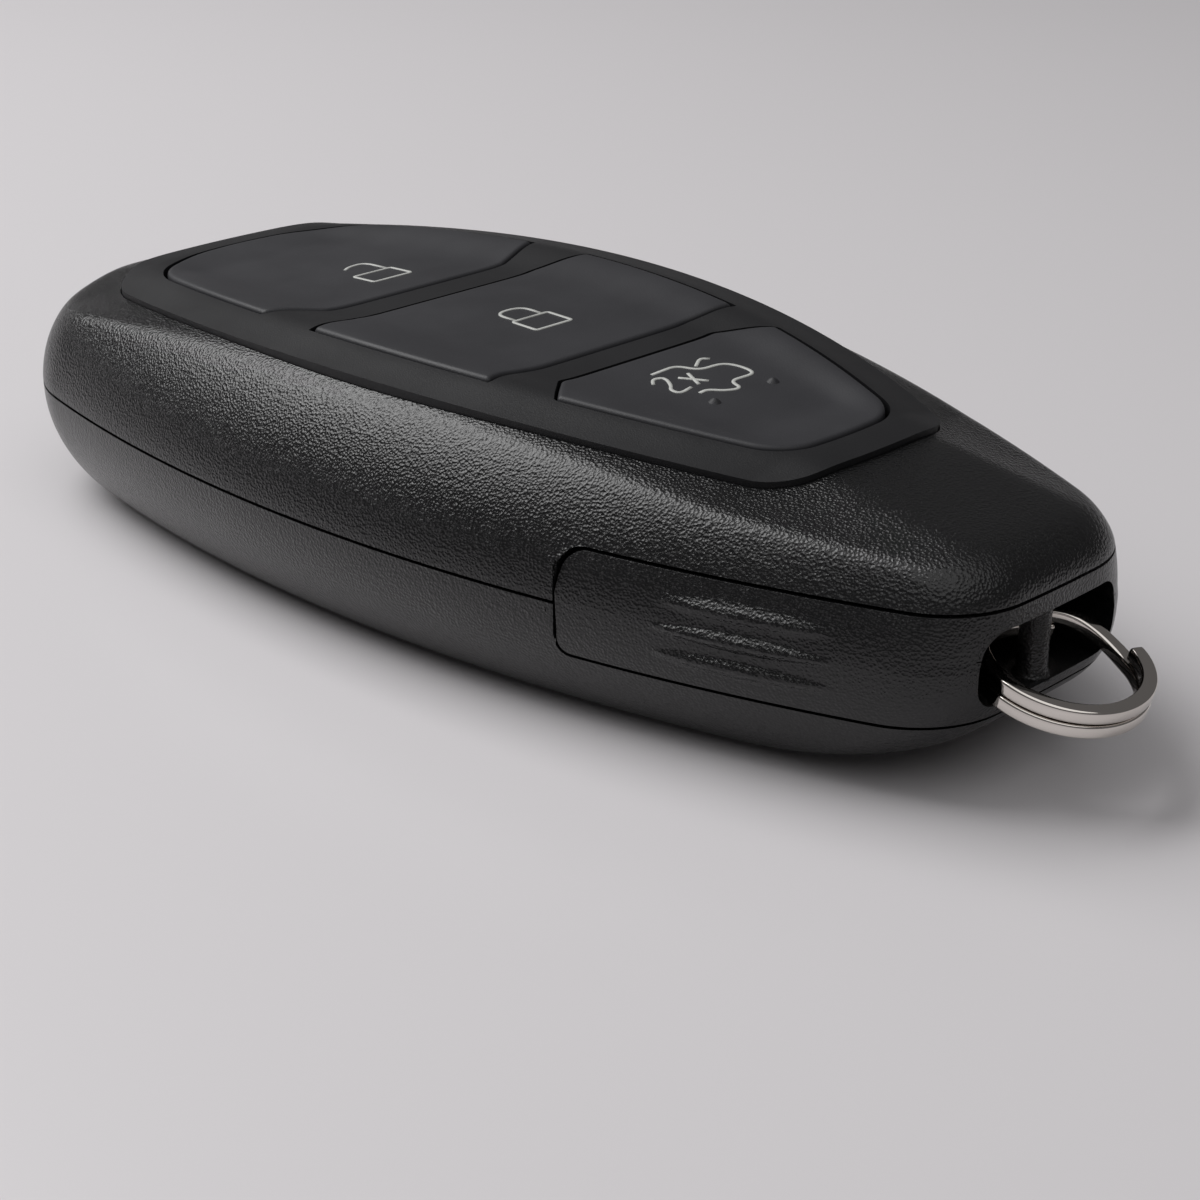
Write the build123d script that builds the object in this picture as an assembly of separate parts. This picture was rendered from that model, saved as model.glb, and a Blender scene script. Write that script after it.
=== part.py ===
from build123d import *
import os
from math import cos, radians, sin, sqrt

# A keyless car key fob lying on its back, buttons up.
# Frame: origin on the flat of the back under the middle of the case, +X towards the
# key ring, +Y across the case, +Z up out of the buttons. All lengths in millimetres.

# Case, seen from above
fob_length = 80.0
fob_width = 39.2
widest_x = -11.4
ring_end_share = 0.399
back_bow = 0.9
back_corner = 11.3
ring_bow = 0.2
ring_corner = 6.4

# Case, seen from the side
fob_height = 16.85
seam_height = 8.0
seam_gap = 0.2
crown_radius = 263.0
crown_x = 0.6
bevel_spare = 0.05
nose_round = 4.0

# How far the case draws in above and below the seam: side as a share of the half-width,
# back and ring end as shares of the length, then how much of that each level has reached
bevel_reach_shares = (0.388, 0.156, 0.175)
belly_reach_shares = (0.27, 0.111, 0.225)
bevel_level_shares = (0.0, 0.3, 0.52, 0.72, 0.88, 1.0)
bevel_side_shares = (0.0, 0.088, 0.23, 0.43, 0.695, 1.0)
bevel_back_shares = (0.0, 0.008, 0.08, 0.25, 0.585, 1.0)
bevel_nose_shares = (0.0, 0.002, 0.045, 0.2, 0.55, 1.0)
belly_level_shares = (0.0, 0.35, 0.6, 0.8, 0.93, 1.0)
belly_side_shares = (0.0, 0.05, 0.175, 0.365, 0.595, 1.0)
belly_back_shares = (0.0, 0.031, 0.15, 0.34, 0.585, 1.0)
belly_nose_shares = (0.0, 0.021, 0.115, 0.295, 0.555, 1.0)
full_corner_share = 0.85
back_corner_share = 0.3
ring_corner_share = 0.25
wall = 1.5
overrun = 1.0

# Button panel set into the upper cover
panel_width_share = 0.801
panel_back_margin = 4.0
panel_ring_margin = 12.6
panel_widest_x = -12.0
panel_ring_end_share = 0.375
panel_back_bow = 1.6
panel_front_bow = 0.35
panel_back_corner = 6.5
panel_front_corner = 3.2
panel_thickness = 1.3
panel_gap = 0.3
panel_step = 0.35
panel_ledge = 1.3
panel_bed_gap = 0.02
roof_thickness = 1.0
frame_width = 3.3
frame_end_width = 2.65
frame_fall = 1.0
shoulder_fall = 1.9
nose_brink = 3.0
panel_back_corner_share = 0.4
panel_front_corner_share = 0.2
dish_depth = 0.7
dish_flank = 4.0
dish_floor_share = 0.65
dish_steps = 4

# Buttons: the middle one's edge towards the ring, the dividers on both sides of it, and
# how far each edge leans from the dished floor to its outer corner
lock_front_x = 5.6
back_divider = 3.1
front_divider = 2.75
unlock_front_lean = -1.5
lock_back_lean = 1.0
lock_front_lean = 0.7
boot_back_lean = 2.75
button_corner = 0.7
button_gap = 0.2
button_proud = 0.12
button_skin = 1.0
button_skirt = 0.9
flange_width = 0.8
flange_thickness = 0.6
flange_gap = 0.05
button_travel = 0.35
lock_press_x = -1.0
boot_press_x = 14.0
boss_radius = 1.3
boss_top_share = 0.5
peg_sides = 16

# Rubber keypad mat
mat_bottom = 11.8
mat_thickness = 0.5
mat_inset = 0.3
mat_rim_width = 0.9
mat_nub_radius = 1.3
mat_nub_rise = 0.6
mat_nub_drop = 0.5
mat_gap = 0.03
press_gap = 0.05

# Circuit board and what stands on it
board_bottom = 9.0
board_thickness = 0.8
board_side_gap = 0.35
board_front_x = 29.0
battery_notch_gap = 0.6
switch_length = 3.0
switch_width = 3.6
switch_height = 1.1
switch_lip = 0.25
plunger_radius = 0.75
plunger_depth = 0.4
plunger_clearance = 0.05
controller_side = 6.0
controller_height = 0.9
controller_x = 6.0
controller_y_share = -0.357
radio_side = 4.0
radio_height = 0.8
radio_x = -8.0
radio_y_share = 0.408
crystal_length = 3.2
crystal_width = 2.5
crystal_height = 0.7
crystal_x = -2.5
crystal_y_share = 0.408
chip_edge_share = 0.2
chip_length = 1.0
chip_width = 0.5
chip_height = 0.45
chip_pitch = 1.8
chip_columns = 4
chip_rows = 3
chip_field_x = 4.0
chip_field_y_share = 0.265
antenna_height = 2.9
antenna_flange = 0.6
antenna_winding_depth = 1.0
antenna_x = 2.0
antenna_blade_gap = 1.9
antenna_wall_gap = 4.5

# Coin battery and its contacts
battery_diameter = 20.0
battery_thickness = 3.2
battery_cap_step = 1.2
battery_cap_height = 0.3
battery_rim = 0.35
battery_end_space = 3.4
battery_switch_gap = 1.0
battery_bottom = 8.2
battery_clearance = 0.15
contact_sheet = 0.25
contact_gap = 0.04
clip_spread = 28.0
clip_tab_angle = 18.0
clip_tab_width = 2.0
clip_tab_length = 1.6
clip_height = 1.4
leaf_width = 2.6
leaf_y = 6.2
leaf_tail = 4.4
leaf_reach = 3.4
leaf_arch_length = 5.0
leaf_clearance = 0.08

# Inner tray
tray_bottom = 4.4
tray_top = 8.95
tray_side_gap = 1.0
tray_back_gap = 1.4
tray_split_x = 15.9
tray_front_gap = 0.2
well_floor = 7.7

# Key blade in its channel
blade_length = 36.5
blade_width = 8.4
blade_thickness = 2.4
blade_centre_z = 6.5
blade_tip = 3.0
blade_tang = 6.0
blade_tang_width = 5.6
track_width = 2.2
track_depth = 0.6
track_waves = 4
track_sway = 0.8
head_length = 12.0
head_width = 11.0
head_thickness = 3.4
head_corner = 2.0
head_hole_radius = 1.6
channel_clearance = 0.2
head_front_x = 33.0

# End cover with its two gripped arms
cover_bottom = 4.92
cover_top = 11.17
cover_gap = 0.2
arm_start_x = 18.0
arm_thickness = 1.9
arm_corner = 1.0
rib_wall = 1.2
end_wall_x = 32.1
cover_back_x = 33.5
window_width_share = 0.306
window_bottom = 5.7
window_top = 10.1
window_corner = 1.4
pillar_x = 38.6
pillar_radius = 0.85
recess_back_x = 34.7
pillar_root = 0.5
grip_start_x = 23.8
grip_end_x = 33.5
grip_middle_z = 8.1
grip_pitch = 1.55
grip_height = 0.95
grip_depth = 0.35
grip_count = 3

# Split key ring, two flat turns of one wire
ring_outer_radius = 4.5
ring_wire_width = 0.9
ring_wire_height = 0.85
ring_turn_gap = 0.08
ring_centre_x = 41.0
ring_centre_z = 6.6
ring_droop = 13.0
ring_cross_middle = 100.0
ring_cross_half = 32.0
ring_step = 12.0

# Tongue along the seam
tongue_height = 0.9
tongue_thickness = 0.6
tongue_clearance = 0.08
tongue_inset = 0.8
tongue_end_x = 14.0
back_rib_thickness = 1.0
back_rib_x_places = (-32.0, -14.0, 2.0, 14.0)
back_rib_y = 9.0


def arc_radius(reach, drop):
    """Radius of an arc that falls by drop at a distance of reach from its crest."""
    return (reach**2 + drop**2) / (2 * drop)


def reach_sizes(shares):
    """Lengths by which the case draws in at its side, back and ring end, from their shares."""
    side, back, nose = shares
    return half_width * side, fob_length * back, fob_length * nose


def arc_y(x, half, radius, x_widest):
    """Half-width at x of an outline whose long side is one arc."""
    return half - radius + sqrt(radius**2 - (x - x_widest) ** 2)


def outline(x_back, x_front, half, radius, x_widest, bow_back, bow_front, corner_back, corner_front):
    """Closed plan outline: two long side arcs and two shallow end arcs, corners rounded."""
    xb = x_back + bow_back
    xf = x_front - bow_front
    xm = (xb + xf) / 2
    yb = arc_y(xb, half, radius, x_widest)
    yf = arc_y(xf, half, radius, x_widest)
    ym = arc_y(xm, half, radius, x_widest)
    edges = [
        ThreePointArc((xb, -yb), (xm, -ym), (xf, -yf)),
        ThreePointArc((xf, -yf), (x_front, 0), (xf, yf)),
        ThreePointArc((xf, yf), (xm, ym), (xb, yb)),
        ThreePointArc((xb, yb), (x_back, 0), (xb, -yb)),
    ]
    face = make_face(edges)
    corners = face.vertices().sort_by(Axis.X)
    face = fillet(corners[0:2], corner_back)
    corners = face.vertices().sort_by(Axis.X)[-2:]
    return fillet(corners, min(corner_front, yf * full_corner_share))


def case_outline(side_inset, back_inset=None, nose_inset=None, rounding=0.0):
    """The case's outline drawn in by the given amounts at its sides, back end and ring end."""
    back_inset = side_inset if back_inset is None else back_inset
    nose_inset = side_inset if nose_inset is None else nose_inset
    return outline(
        -half_length + back_inset,
        half_length - nose_inset,
        half_width - side_inset,
        side_radius,
        widest_x,
        back_bow,
        ring_bow,
        back_corner - back_inset * back_corner_share,
        ring_corner + rounding - side_inset * ring_corner_share,
    )


def panel_outline(inset, end_inset=None):
    """The button panel's outline drawn in by the given amounts."""
    end_inset = inset if end_inset is None else end_inset
    return outline(
        panel_back_x + end_inset,
        panel_front_x - end_inset,
        panel_width / 2 - inset,
        panel_side_radius,
        panel_widest_x,
        panel_back_bow,
        panel_front_bow,
        panel_back_corner - end_inset * panel_back_corner_share,
        panel_front_corner - end_inset * panel_front_corner_share,
    )


def prism(face, z_low, z_high):
    """A face of the XY plane raised between two levels."""
    return extrude(Pos(0, 0, z_low) * face, amount=z_high - z_low)


def peg(x, radius, z_low, z_high):
    """A small upright peg on the middle line at x, round enough with few faces."""
    return Pos(x, 0, 0) * prism(RegularPolygon(radius, peg_sides), z_low, z_high)


def slab(x_low, x_high, y_low, y_high, z_low, z_high):
    """An upright block between two corners."""
    middle = ((x_low + x_high) / 2, (y_low + y_high) / 2, (z_low + z_high) / 2)
    return Pos(*middle) * Box(x_high - x_low, y_high - y_low, z_high - z_low)


def pillow(z_start, rise, sizes, tables, rounding=0.0, skin=0.0):
    """Half of the case as a loft of outlines; skin draws it in for the hollow, with fewer levels."""
    side, back, nose = sizes
    sections = []
    rows = list(zip(*tables))
    if skin:
        rows = rows[:-1:2] + rows[-1:]
    for level, side_share, back_share, nose_share in rows:
        face = case_outline(
            side_share * side + skin,
            back_share * back + skin,
            nose_share * nose + skin,
            rounding * level,
        )
        sections.append(Pos(0, 0, z_start + level * rise) * face)
    return loft(sections, ruled=True)


def crown_level(x, drop=0):
    """Height of the crowned panel at x."""
    return fob_height - drop - crown_radius + sqrt(crown_radius**2 - (x - crown_x) ** 2)


def below_crown(drop):
    """Everything below the crown lowered by drop, as wide and long as the case."""
    x_low = -half_length - overrun
    x_high = half_length + overrun
    low = crown_level(x_low, drop)
    high = crown_level(x_high, drop)
    top = ThreePointArc((x_low, 0, low), (crown_x, 0, crown_level(crown_x, drop)), (x_high, 0, high))
    sides = Polyline((x_high, 0, high), (x_high, 0, -overrun), (x_low, 0, -overrun), (x_low, 0, low))
    profile = make_face([top, sides])
    return extrude(profile, amount=half_width + overrun, both=True)


def dish_share(x):
    """How much of the dish's depth is reached at x, nought at both ends of the buttons."""
    back = panel_back_x + frame_end_width
    front = panel_front_x - frame_end_width
    from_end = min(x - back, front - x) / dish_flank
    return max(0.0, min(1.0, from_end))


def brink_y(x):
    """Half-width at x of the field of buttons inside the frame."""
    return arc_y(x, panel_width / 2, panel_side_radius, panel_widest_x) - frame_width


def sky_face(x, half):
    """Upright section at x of everything above a row of points given for one side."""
    top = fob_height + dish_flank
    left = [(x, -y, z) for y, z in reversed(half)]
    right = [(x, y, z) for y, z in half]
    outer = half[-1][0]
    return make_face(Polyline(*left, *right, (x, outer, top), (x, -outer, top), close=True))


def panel_section(x, lift):
    """Cutter section over the panel at x: frame falling outwards, flanks and dish floor."""
    brink = brink_y(x)
    floor = brink * dish_floor_share
    outer = half_width + overrun
    level = crown_level(x) + lift
    depth = dish_depth * dish_share(x)
    fall = frame_fall * (outer - brink) / frame_width
    return sky_face(x, [(floor, level - depth), (brink, level), (outer, level - fall)])


def case_section(x, drop):
    """Cutter section over the case at x: level over the buttons, then falling away."""
    brink = max(brink_y(x), nose_brink)
    outer = half_width + overrun
    level = crown_level(x) - drop
    half = [
        (brink, level),
        (brink + frame_width, level - frame_fall),
        (outer, level - shoulder_fall),
    ]
    return sky_face(x, half)


def above_case(drop):
    """Everything above the crowned top of the case lowered by drop."""
    reach = half_length + overrun
    places = [
        -reach,
        panel_back_x,
        (panel_back_x + panel_widest_x) / 2,
        panel_widest_x,
        (panel_widest_x + panel_front_x) / 2,
        panel_front_x,
        (panel_front_x + reach) / 2,
        reach,
    ]
    return loft([case_section(x, drop) for x in places], ruled=True)


def above_panel(lift=0):
    """Everything above the dished and crowned face of the button panel."""
    back = panel_back_x + frame_end_width
    front = panel_front_x - frame_end_width
    inner_back = back + dish_flank
    inner_front = front - dish_flank
    pitch = (inner_front - inner_back) / dish_steps
    places = [panel_back_x - overrun, back]
    places += [inner_back + pitch * step for step in range(dish_steps + 1)]
    places += [front, panel_front_x + overrun]
    return loft([panel_section(x, lift) for x in places], ruled=True)


def kinked_edge(x_middle, x_corner):
    """Points of a button edge: straight over the dish floor, slanted over both flanks."""
    brink = brink_y(x_corner)
    floor = brink_y(x_middle) * dish_floor_share
    reach = half_width
    half = [(x_middle, floor), (x_corner, brink), (x_corner, reach)]
    return [(x, -y) for x, y in reversed(half)] + half


def button_outline(back, front, gap=0.0):
    """Outline of one button: the field inside the frame, cut by its two kinked edges."""
    field = panel_outline(frame_width, frame_end_width)
    reach = half_width
    back_points = [(-half_length, -reach), (-half_length, reach)]
    front_points = [(half_length, -reach), (half_length, reach)]
    if back:
        back_points = kinked_edge(*back)
    if front:
        front_points = kinked_edge(*front)
    strip = make_face(Polyline(*back_points, *reversed(front_points), close=True))
    face = field & strip
    at_back = [v for v in face.vertices() if back and v.X < back[1] + overrun]
    at_front = [v for v in face.vertices() if front and v.X > front[1] - overrun]
    face = fillet(at_back + at_front, button_corner)
    return offset(face, amount=gap) if gap else face


half_length = fob_length / 2
half_width = fob_width / 2
side_radius = arc_radius(half_length - widest_x, half_width * (1 - ring_end_share))
bevel_rise = fob_height - seam_height + bevel_spare
panel_width = fob_width * panel_width_share
panel_back_x = panel_back_margin - half_length
panel_front_x = half_length - panel_ring_margin
panel_taper = panel_width / 2 * (1 - panel_ring_end_share)
panel_side_radius = arc_radius(panel_front_x - panel_widest_x, panel_taper)
battery_radius = battery_diameter / 2
battery_x = battery_end_space - half_length + battery_radius
unlock_press_x = battery_x + battery_radius + battery_switch_gap + switch_length / 2
press_x = {"unlock": unlock_press_x, "lock": lock_press_x, "boot": boot_press_x}
unlock_front_x = unlock_press_x + boss_radius
lock_back_x = unlock_front_x + back_divider
boot_back_x = lock_front_x + front_divider
button_edges = {
    "unlock": (None, (unlock_front_x, unlock_front_x + unlock_front_lean)),
    "lock": ((lock_back_x, lock_back_x + lock_back_lean), (lock_front_x, lock_front_x + lock_front_lean)),
    "boot": ((boot_back_x, boot_back_x + boot_back_lean), None),
}
antenna_inner_y = blade_width / 2 + antenna_blade_gap
antenna_outer_y = half_width - antenna_wall_gap
antenna_side = antenna_outer_y - antenna_inner_y
antenna_core_side = antenna_side - 2 * antenna_winding_depth
antenna_y = (antenna_inner_y + antenna_outer_y) / 2
window_width = fob_width * window_width_share
arm_back_inset = arm_thickness + cover_gap
cavity_inset = arm_back_inset + rib_wall
panel_bed_drop = panel_thickness + panel_bed_gap
roof_drop = panel_thickness + roof_thickness
upper_seam = seam_height + seam_gap / 2
lower_seam = seam_height - seam_gap / 2
board_top = board_bottom + board_thickness
switch_top = board_top + switch_height
nub_bottom = mat_bottom - mat_nub_drop
nub_top = mat_bottom + mat_thickness + mat_nub_rise
battery_top = battery_bottom + battery_thickness
sky = fob_height + overrun


def upper_pillow(skin=0):
    """Outer form of the case above the seam, or its hollow when a skin is given."""
    tables = (bevel_level_shares, bevel_side_shares, bevel_back_shares, bevel_nose_shares)
    return pillow(seam_height, bevel_rise, reach_sizes(bevel_reach_shares), tables, nose_round, skin)


def lower_pillow(skin=0):
    """Outer form of the case below the seam, or its hollow when a skin is given."""
    tables = (belly_level_shares, belly_side_shares, belly_back_shares, belly_nose_shares)
    return pillow(seam_height, skin - seam_height, reach_sizes(belly_reach_shares), tables, skin=skin)


def whole_case():
    """The case as one closed form, before it is split at the seam."""
    upper = upper_pillow() - above_case(panel_step)
    return upper + lower_pillow()


def arm_zone(inset, grow, x_block):
    """The U-shaped place of the end cover: two side strips and the whole ring end."""
    x_low = arm_start_x - grow
    x_high = half_length + fob_height
    height = cover_top - cover_bottom + 2 * grow
    middle = Pos((x_low + x_high) / 2, 0, (cover_top + cover_bottom) / 2)
    side_view = middle * Rot(90, 0, 0) * RectangleRounded(x_high - x_low, height, arm_corner + grow)
    low = cover_bottom - grow
    high = cover_top + grow
    around = prism(case_outline(-overrun), low, high) - prism(case_outline(inset), low, high)
    block = prism(case_outline(-overrun), low, high)
    block &= slab(x_block, x_high, -half_width, half_width, low, high)
    return (around + block) & extrude(side_view, amount=half_width + overrun, both=True)


def hollow(lofted):
    """The case's hollow: wide behind the arms, narrow between them."""
    x_wide = arm_start_x - cover_gap - rib_wall
    behind = lofted & slab(-half_length, x_wide, -half_width, half_width, -overrun, sky)
    narrow = prism(case_outline(cavity_inset), -overrun, sky)
    narrow &= slab(x_wide - overrun, end_wall_x, -half_width, half_width, -overrun, sky)
    return behind + (narrow & lofted)


def seam_ring(inset, thickness, z_low, z_high):
    """A thin upright wall that follows the case's outline as far as the arms."""
    ring = prism(case_outline(inset), z_low, z_high)
    ring -= prism(case_outline(inset + thickness), z_low, z_high)
    return ring & slab(-half_length, tongue_end_x, -half_width, half_width, z_low, z_high)


def blade_way():
    """Clear way of the key blade and its head through the end walls."""
    half = head_width / 2 + channel_clearance
    rise = head_thickness / 2 + channel_clearance
    x_low = head_front_x - head_length - channel_clearance
    low = blade_centre_z - rise
    high = blade_centre_z + rise
    return slab(x_low, cover_back_x + overrun, -half, half, low, high)


def top_cover(case):
    """Upper moulded half with the panel's recess, its ledge and the notch for the arms."""
    above = prism(case_outline(-overrun), upper_seam, sky)
    body = case & above
    inside = (upper_pillow(wall) & below_crown(roof_drop)) - above_case(panel_step + roof_thickness)
    body -= hollow(inside)
    recess = prism(panel_outline(-panel_gap), seam_height, sky) - below_crown(panel_bed_drop)
    opening = prism(panel_outline(panel_ledge), seam_height, sky)
    body -= recess
    body -= opening
    body -= arm_zone(arm_back_inset, cover_gap, cover_back_x - cover_gap)
    body -= blade_way()
    rabbet = seam_ring(
        tongue_inset - tongue_clearance,
        tongue_thickness + 2 * tongue_clearance + wall,
        seam_height - overrun,
        lower_seam + tongue_height + tongue_clearance,
    )
    return body - rabbet


def bottom_cover(case):
    """Lower moulded half: tongue along the seam, ribs that carry the tray, flat rest face."""
    below = prism(case_outline(-overrun), -overrun, lower_seam)
    body = case & below
    inside = hollow(lower_pillow(wall))
    body -= inside
    ribs = Part()
    for x in back_rib_x_places:
        ribs += slab(x, x + back_rib_thickness, -half_width, half_width, 0, tray_bottom)
    for y in (-back_rib_y, back_rib_y):
        ribs += slab(-half_length, tongue_end_x, y, y + back_rib_thickness, 0, tray_bottom)
    body += ribs & inside
    body -= arm_zone(arm_back_inset, cover_gap, cover_back_x - cover_gap)
    body -= blade_way()
    tongue = seam_ring(tongue_inset, tongue_thickness, lower_seam - wall, lower_seam + tongue_height)
    return body + tongue


def button_panel():
    """Bezel around the buttons with its two dividers, crowned and dished."""
    body = prism(panel_outline(0), seam_height, sky)
    body -= below_crown(panel_thickness)
    body -= above_panel()
    for back, front in button_edges.values():
        body -= prism(button_outline(back, front, button_gap), seam_height, sky)
    return body


def button(name):
    """One push button: dished cap, skirt, retaining flange and the boss that presses the mat."""
    back, front = button_edges[name]
    face = button_outline(back, front)
    flange_drop = panel_thickness + flange_gap
    skirt_drop = flange_drop + flange_thickness
    inner = prism(offset(face, amount=-button_skirt), seam_height, sky)
    cap = prism(face, seam_height, sky) - above_panel(button_proud)
    cap -= below_crown(skirt_drop)
    cap -= inner - above_panel(-button_skin)
    rim = prism(offset(face, amount=flange_width), seam_height, sky) - inner
    rim &= below_crown(flange_drop)
    rim -= below_crown(skirt_drop)
    boss = peg(press_x[name], boss_radius, nub_top + press_gap, sky)
    boss -= above_panel(-button_skin * boss_top_share)
    return cap + rim + boss


def keypad_mat():
    """Rubber mat: thin sheet, rim up to the cover's roof, a nub above and below each switch."""
    edge = panel_outline(panel_ledge - mat_rim_width)
    sheet = prism(edge, mat_bottom, mat_bottom + mat_thickness)
    rim = prism(edge, mat_bottom, sky) - prism(panel_outline(panel_ledge + mat_inset), mat_bottom, sky)
    body = (sheet + rim) & below_crown(roof_drop + mat_gap) & upper_pillow(wall + mat_gap)
    body -= above_case(panel_step + roof_thickness + mat_gap)
    for x in press_x.values():
        body += peg(x, mat_nub_radius, nub_bottom, nub_top)
    return body


def board_outline(gap):
    """Plan of the circuit board: case outline, cut back for the battery and the end wall."""
    face = case_outline(cavity_inset + gap)
    x_low = battery_x
    x_high = board_front_x - gap
    strip = Pos((x_low + x_high) / 2, 0) * Rectangle(x_high - x_low, fob_width)
    notch = Pos(battery_x, 0) * Circle(battery_radius + battery_notch_gap - gap + board_side_gap)
    return (face & strip) - notch


def circuit_board():
    """Printed circuit board with a curved end that leaves the battery free."""
    board = prism(board_outline(board_side_gap), board_bottom, board_top)
    solids = board.solids().sort_by(Axis.X)
    return solids[-1]


def switch_body(x):
    """Case of one tactile switch with the hole for its plunger."""
    body = Pos(x, 0, 0) * prism(Rectangle(switch_length, switch_width), board_top, switch_top)
    body = chamfer(body.faces().sort_by(Axis.Z)[-1].edges(), switch_lip)
    hole_bottom = switch_top - plunger_depth - button_travel
    return body - peg(x, plunger_radius + plunger_clearance, hole_bottom, sky)


def switch_plunger(x):
    """The round plunger that stands out of one switch."""
    return peg(x, plunger_radius, switch_top - plunger_depth, nub_bottom - press_gap)


def battery():
    """Coin cell: can with its bevelled rim and the stepped cap below."""
    step = battery_bottom + battery_cap_height
    can = prism(Circle(battery_radius), step, battery_top)
    can = chamfer(can.edges().filter_by(GeomType.CIRCLE), battery_rim)
    cap = prism(Circle(battery_radius - battery_cap_step), battery_bottom, step)
    return Pos(battery_x, 0, 0) * (can + cap)


def positive_contact():
    """Sprung strip round the cell's rim with two tabs on the board."""
    inner = battery_radius + contact_gap
    reach = battery_diameter
    y_half = reach * sin(radians(clip_spread))
    wedge = make_face(Polyline((0, 0), (reach, -y_half), (reach, y_half), close=True))
    plan = (Circle(inner + contact_sheet) - Circle(inner)) & wedge
    strip = prism(plan, board_top, board_top + clip_height)
    half = clip_tab_width / 2
    tab = slab(inner, inner + clip_tab_length, -half, half, board_top, board_top + contact_sheet)
    for angle in (-clip_tab_angle, clip_tab_angle):
        strip += Rot(0, 0, angle) * tab
    return Pos(battery_x, 0, 0) * strip


def flat_strip(points, y_low, y_high):
    """A sheet strip whose side view is given, between two places across the case."""
    profile = make_face(Polyline(*[(x, 0, z) for x, z in points], close=True))
    return Pos(0, y_low, 0) * extrude(profile, amount=y_high - y_low, dir=(0, 1, 0))


def negative_contact(grow=0.0):
    """Leaf under the cell, arched to press on it, then up to the board; grow widens it."""
    y_low = leaf_y - leaf_width / 2 - grow
    y_high = leaf_y + leaf_width / 2 + grow
    back = battery_x - leaf_tail - grow
    front = battery_x + battery_radius + leaf_reach + grow
    low = well_floor - grow
    high = well_floor + contact_sheet + grow
    riser = front - contact_sheet - 2 * grow
    outer = [(back, low), (front, low), (front, board_bottom)]
    inner = [(riser, board_bottom), (riser, high), (back, high)]
    half = leaf_arch_length / 2
    crest = battery_bottom - contact_gap
    foot = well_floor + contact_sheet / 2
    arch = [
        (battery_x - half, foot),
        (battery_x - half / 2, crest),
        (battery_x + half / 2, crest),
        (battery_x + half, foot),
    ]
    return flat_strip(outer + inner, y_low, y_high) + flat_strip(arch, y_low, y_high)


def inner_tray():
    """Tray that carries the board: battery well, blade channel and coil pocket."""
    body = prism(case_outline(wall + tray_side_gap, wall + tray_back_gap), tray_bottom, tray_top)
    body &= slab(-half_length, tray_split_x, -half_width, half_width, tray_bottom, tray_top)
    x_low = tray_split_x - overrun
    x_high = end_wall_x - tray_front_gap
    front = prism(case_outline(cavity_inset + tray_front_gap), tray_bottom, tray_top)
    front &= slab(x_low, x_high, -half_width, half_width, tray_bottom, tray_top)
    body += front
    body -= Pos(battery_x, 0, 0) * prism(Circle(battery_radius + battery_clearance), well_floor, sky)
    blade_half = blade_width / 2 + channel_clearance
    blade_rise = blade_thickness / 2 + channel_clearance
    blade_back = head_front_x - head_length - blade_length - channel_clearance
    channel_low = blade_centre_z - blade_rise
    channel_high = blade_centre_z + blade_rise
    body -= slab(blade_back, half_length, -blade_half, blade_half, channel_low, channel_high)
    body -= blade_way()
    coil = antenna_side / 2 + channel_clearance
    coil_low = board_bottom - antenna_height - channel_clearance
    body -= Pos(antenna_x, antenna_y, 0) * slab(-coil, coil, -coil, coil, coil_low, sky)
    body -= negative_contact(leaf_clearance)
    return body


def key_blade():
    """Emergency blade with a wavy track milled in both faces, pointed tip and narrow tang."""
    x_tip = head_front_x - head_length - blade_length
    x_neck = head_front_x - head_length
    half = blade_width / 2
    tang = blade_tang_width / 2
    right = [
        (x_tip, blade_tip / 2 - half),
        (x_tip + blade_tip, -half),
        (x_neck, -half),
        (x_neck, -tang),
        (x_neck + blade_tang, -tang),
    ]
    left = [(x, -y) for x, y in reversed(right)]
    low = blade_centre_z - blade_thickness / 2
    high = blade_centre_z + blade_thickness / 2
    body = prism(make_face(Polyline(*right, *left, close=True)), low, high)
    pitch = (blade_length - blade_tip) / (2 * track_waves)
    path = [(x_tip - overrun, 0)]
    for step in range(2 * track_waves):
        sway = track_sway if step % 2 else -track_sway
        path.append((x_tip + blade_tip / 2 + (step + 1 / 2) * pitch, sway))
    upper = [(x, y + track_width / 2) for x, y in path]
    lower = [(x, y - track_width / 2) for x, y in reversed(path)]
    track = make_face(Polyline(*upper, *lower, close=True))
    body -= prism(track, high - track_depth, high + overrun)
    body -= prism(track, low - overrun, low + track_depth)
    return body


def blade_head():
    """Moulded head of the blade: rounded block with a finger dimple and a slot for the tang."""
    x_neck = head_front_x - head_length
    low = blade_centre_z - head_thickness / 2
    high = blade_centre_z + head_thickness / 2
    plan = Pos(x_neck + head_length / 2, 0) * RectangleRounded(head_length, head_width, head_corner)
    body = prism(plan, low, high)
    tang = blade_tang_width / 2
    slot_low = blade_centre_z - blade_thickness / 2
    slot_high = blade_centre_z + blade_thickness / 2
    body -= slab(x_neck - overrun, x_neck + blade_tang, -tang, tang, slot_low, slot_high)
    hole_x = x_neck + blade_tang + (head_length - blade_tang) / 2
    return body - Pos(hole_x, 0, 0) * prism(Circle(head_hole_radius), low - overrun, high + overrun)


def antenna_core():
    """Square ferrite core of the aerial coil with a flange at each end."""
    low = board_bottom - antenna_height
    spool = Box(antenna_core_side, antenna_core_side, antenna_height)
    spool = Pos(antenna_x, antenna_y, low + antenna_height / 2) * spool
    plate = Pos(antenna_x, antenna_y) * RectangleRounded(antenna_side, antenna_side, antenna_flange)
    lower = prism(plate, low, low + antenna_flange)
    upper = prism(plate, board_bottom - antenna_flange, board_bottom)
    return spool + lower + upper


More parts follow.
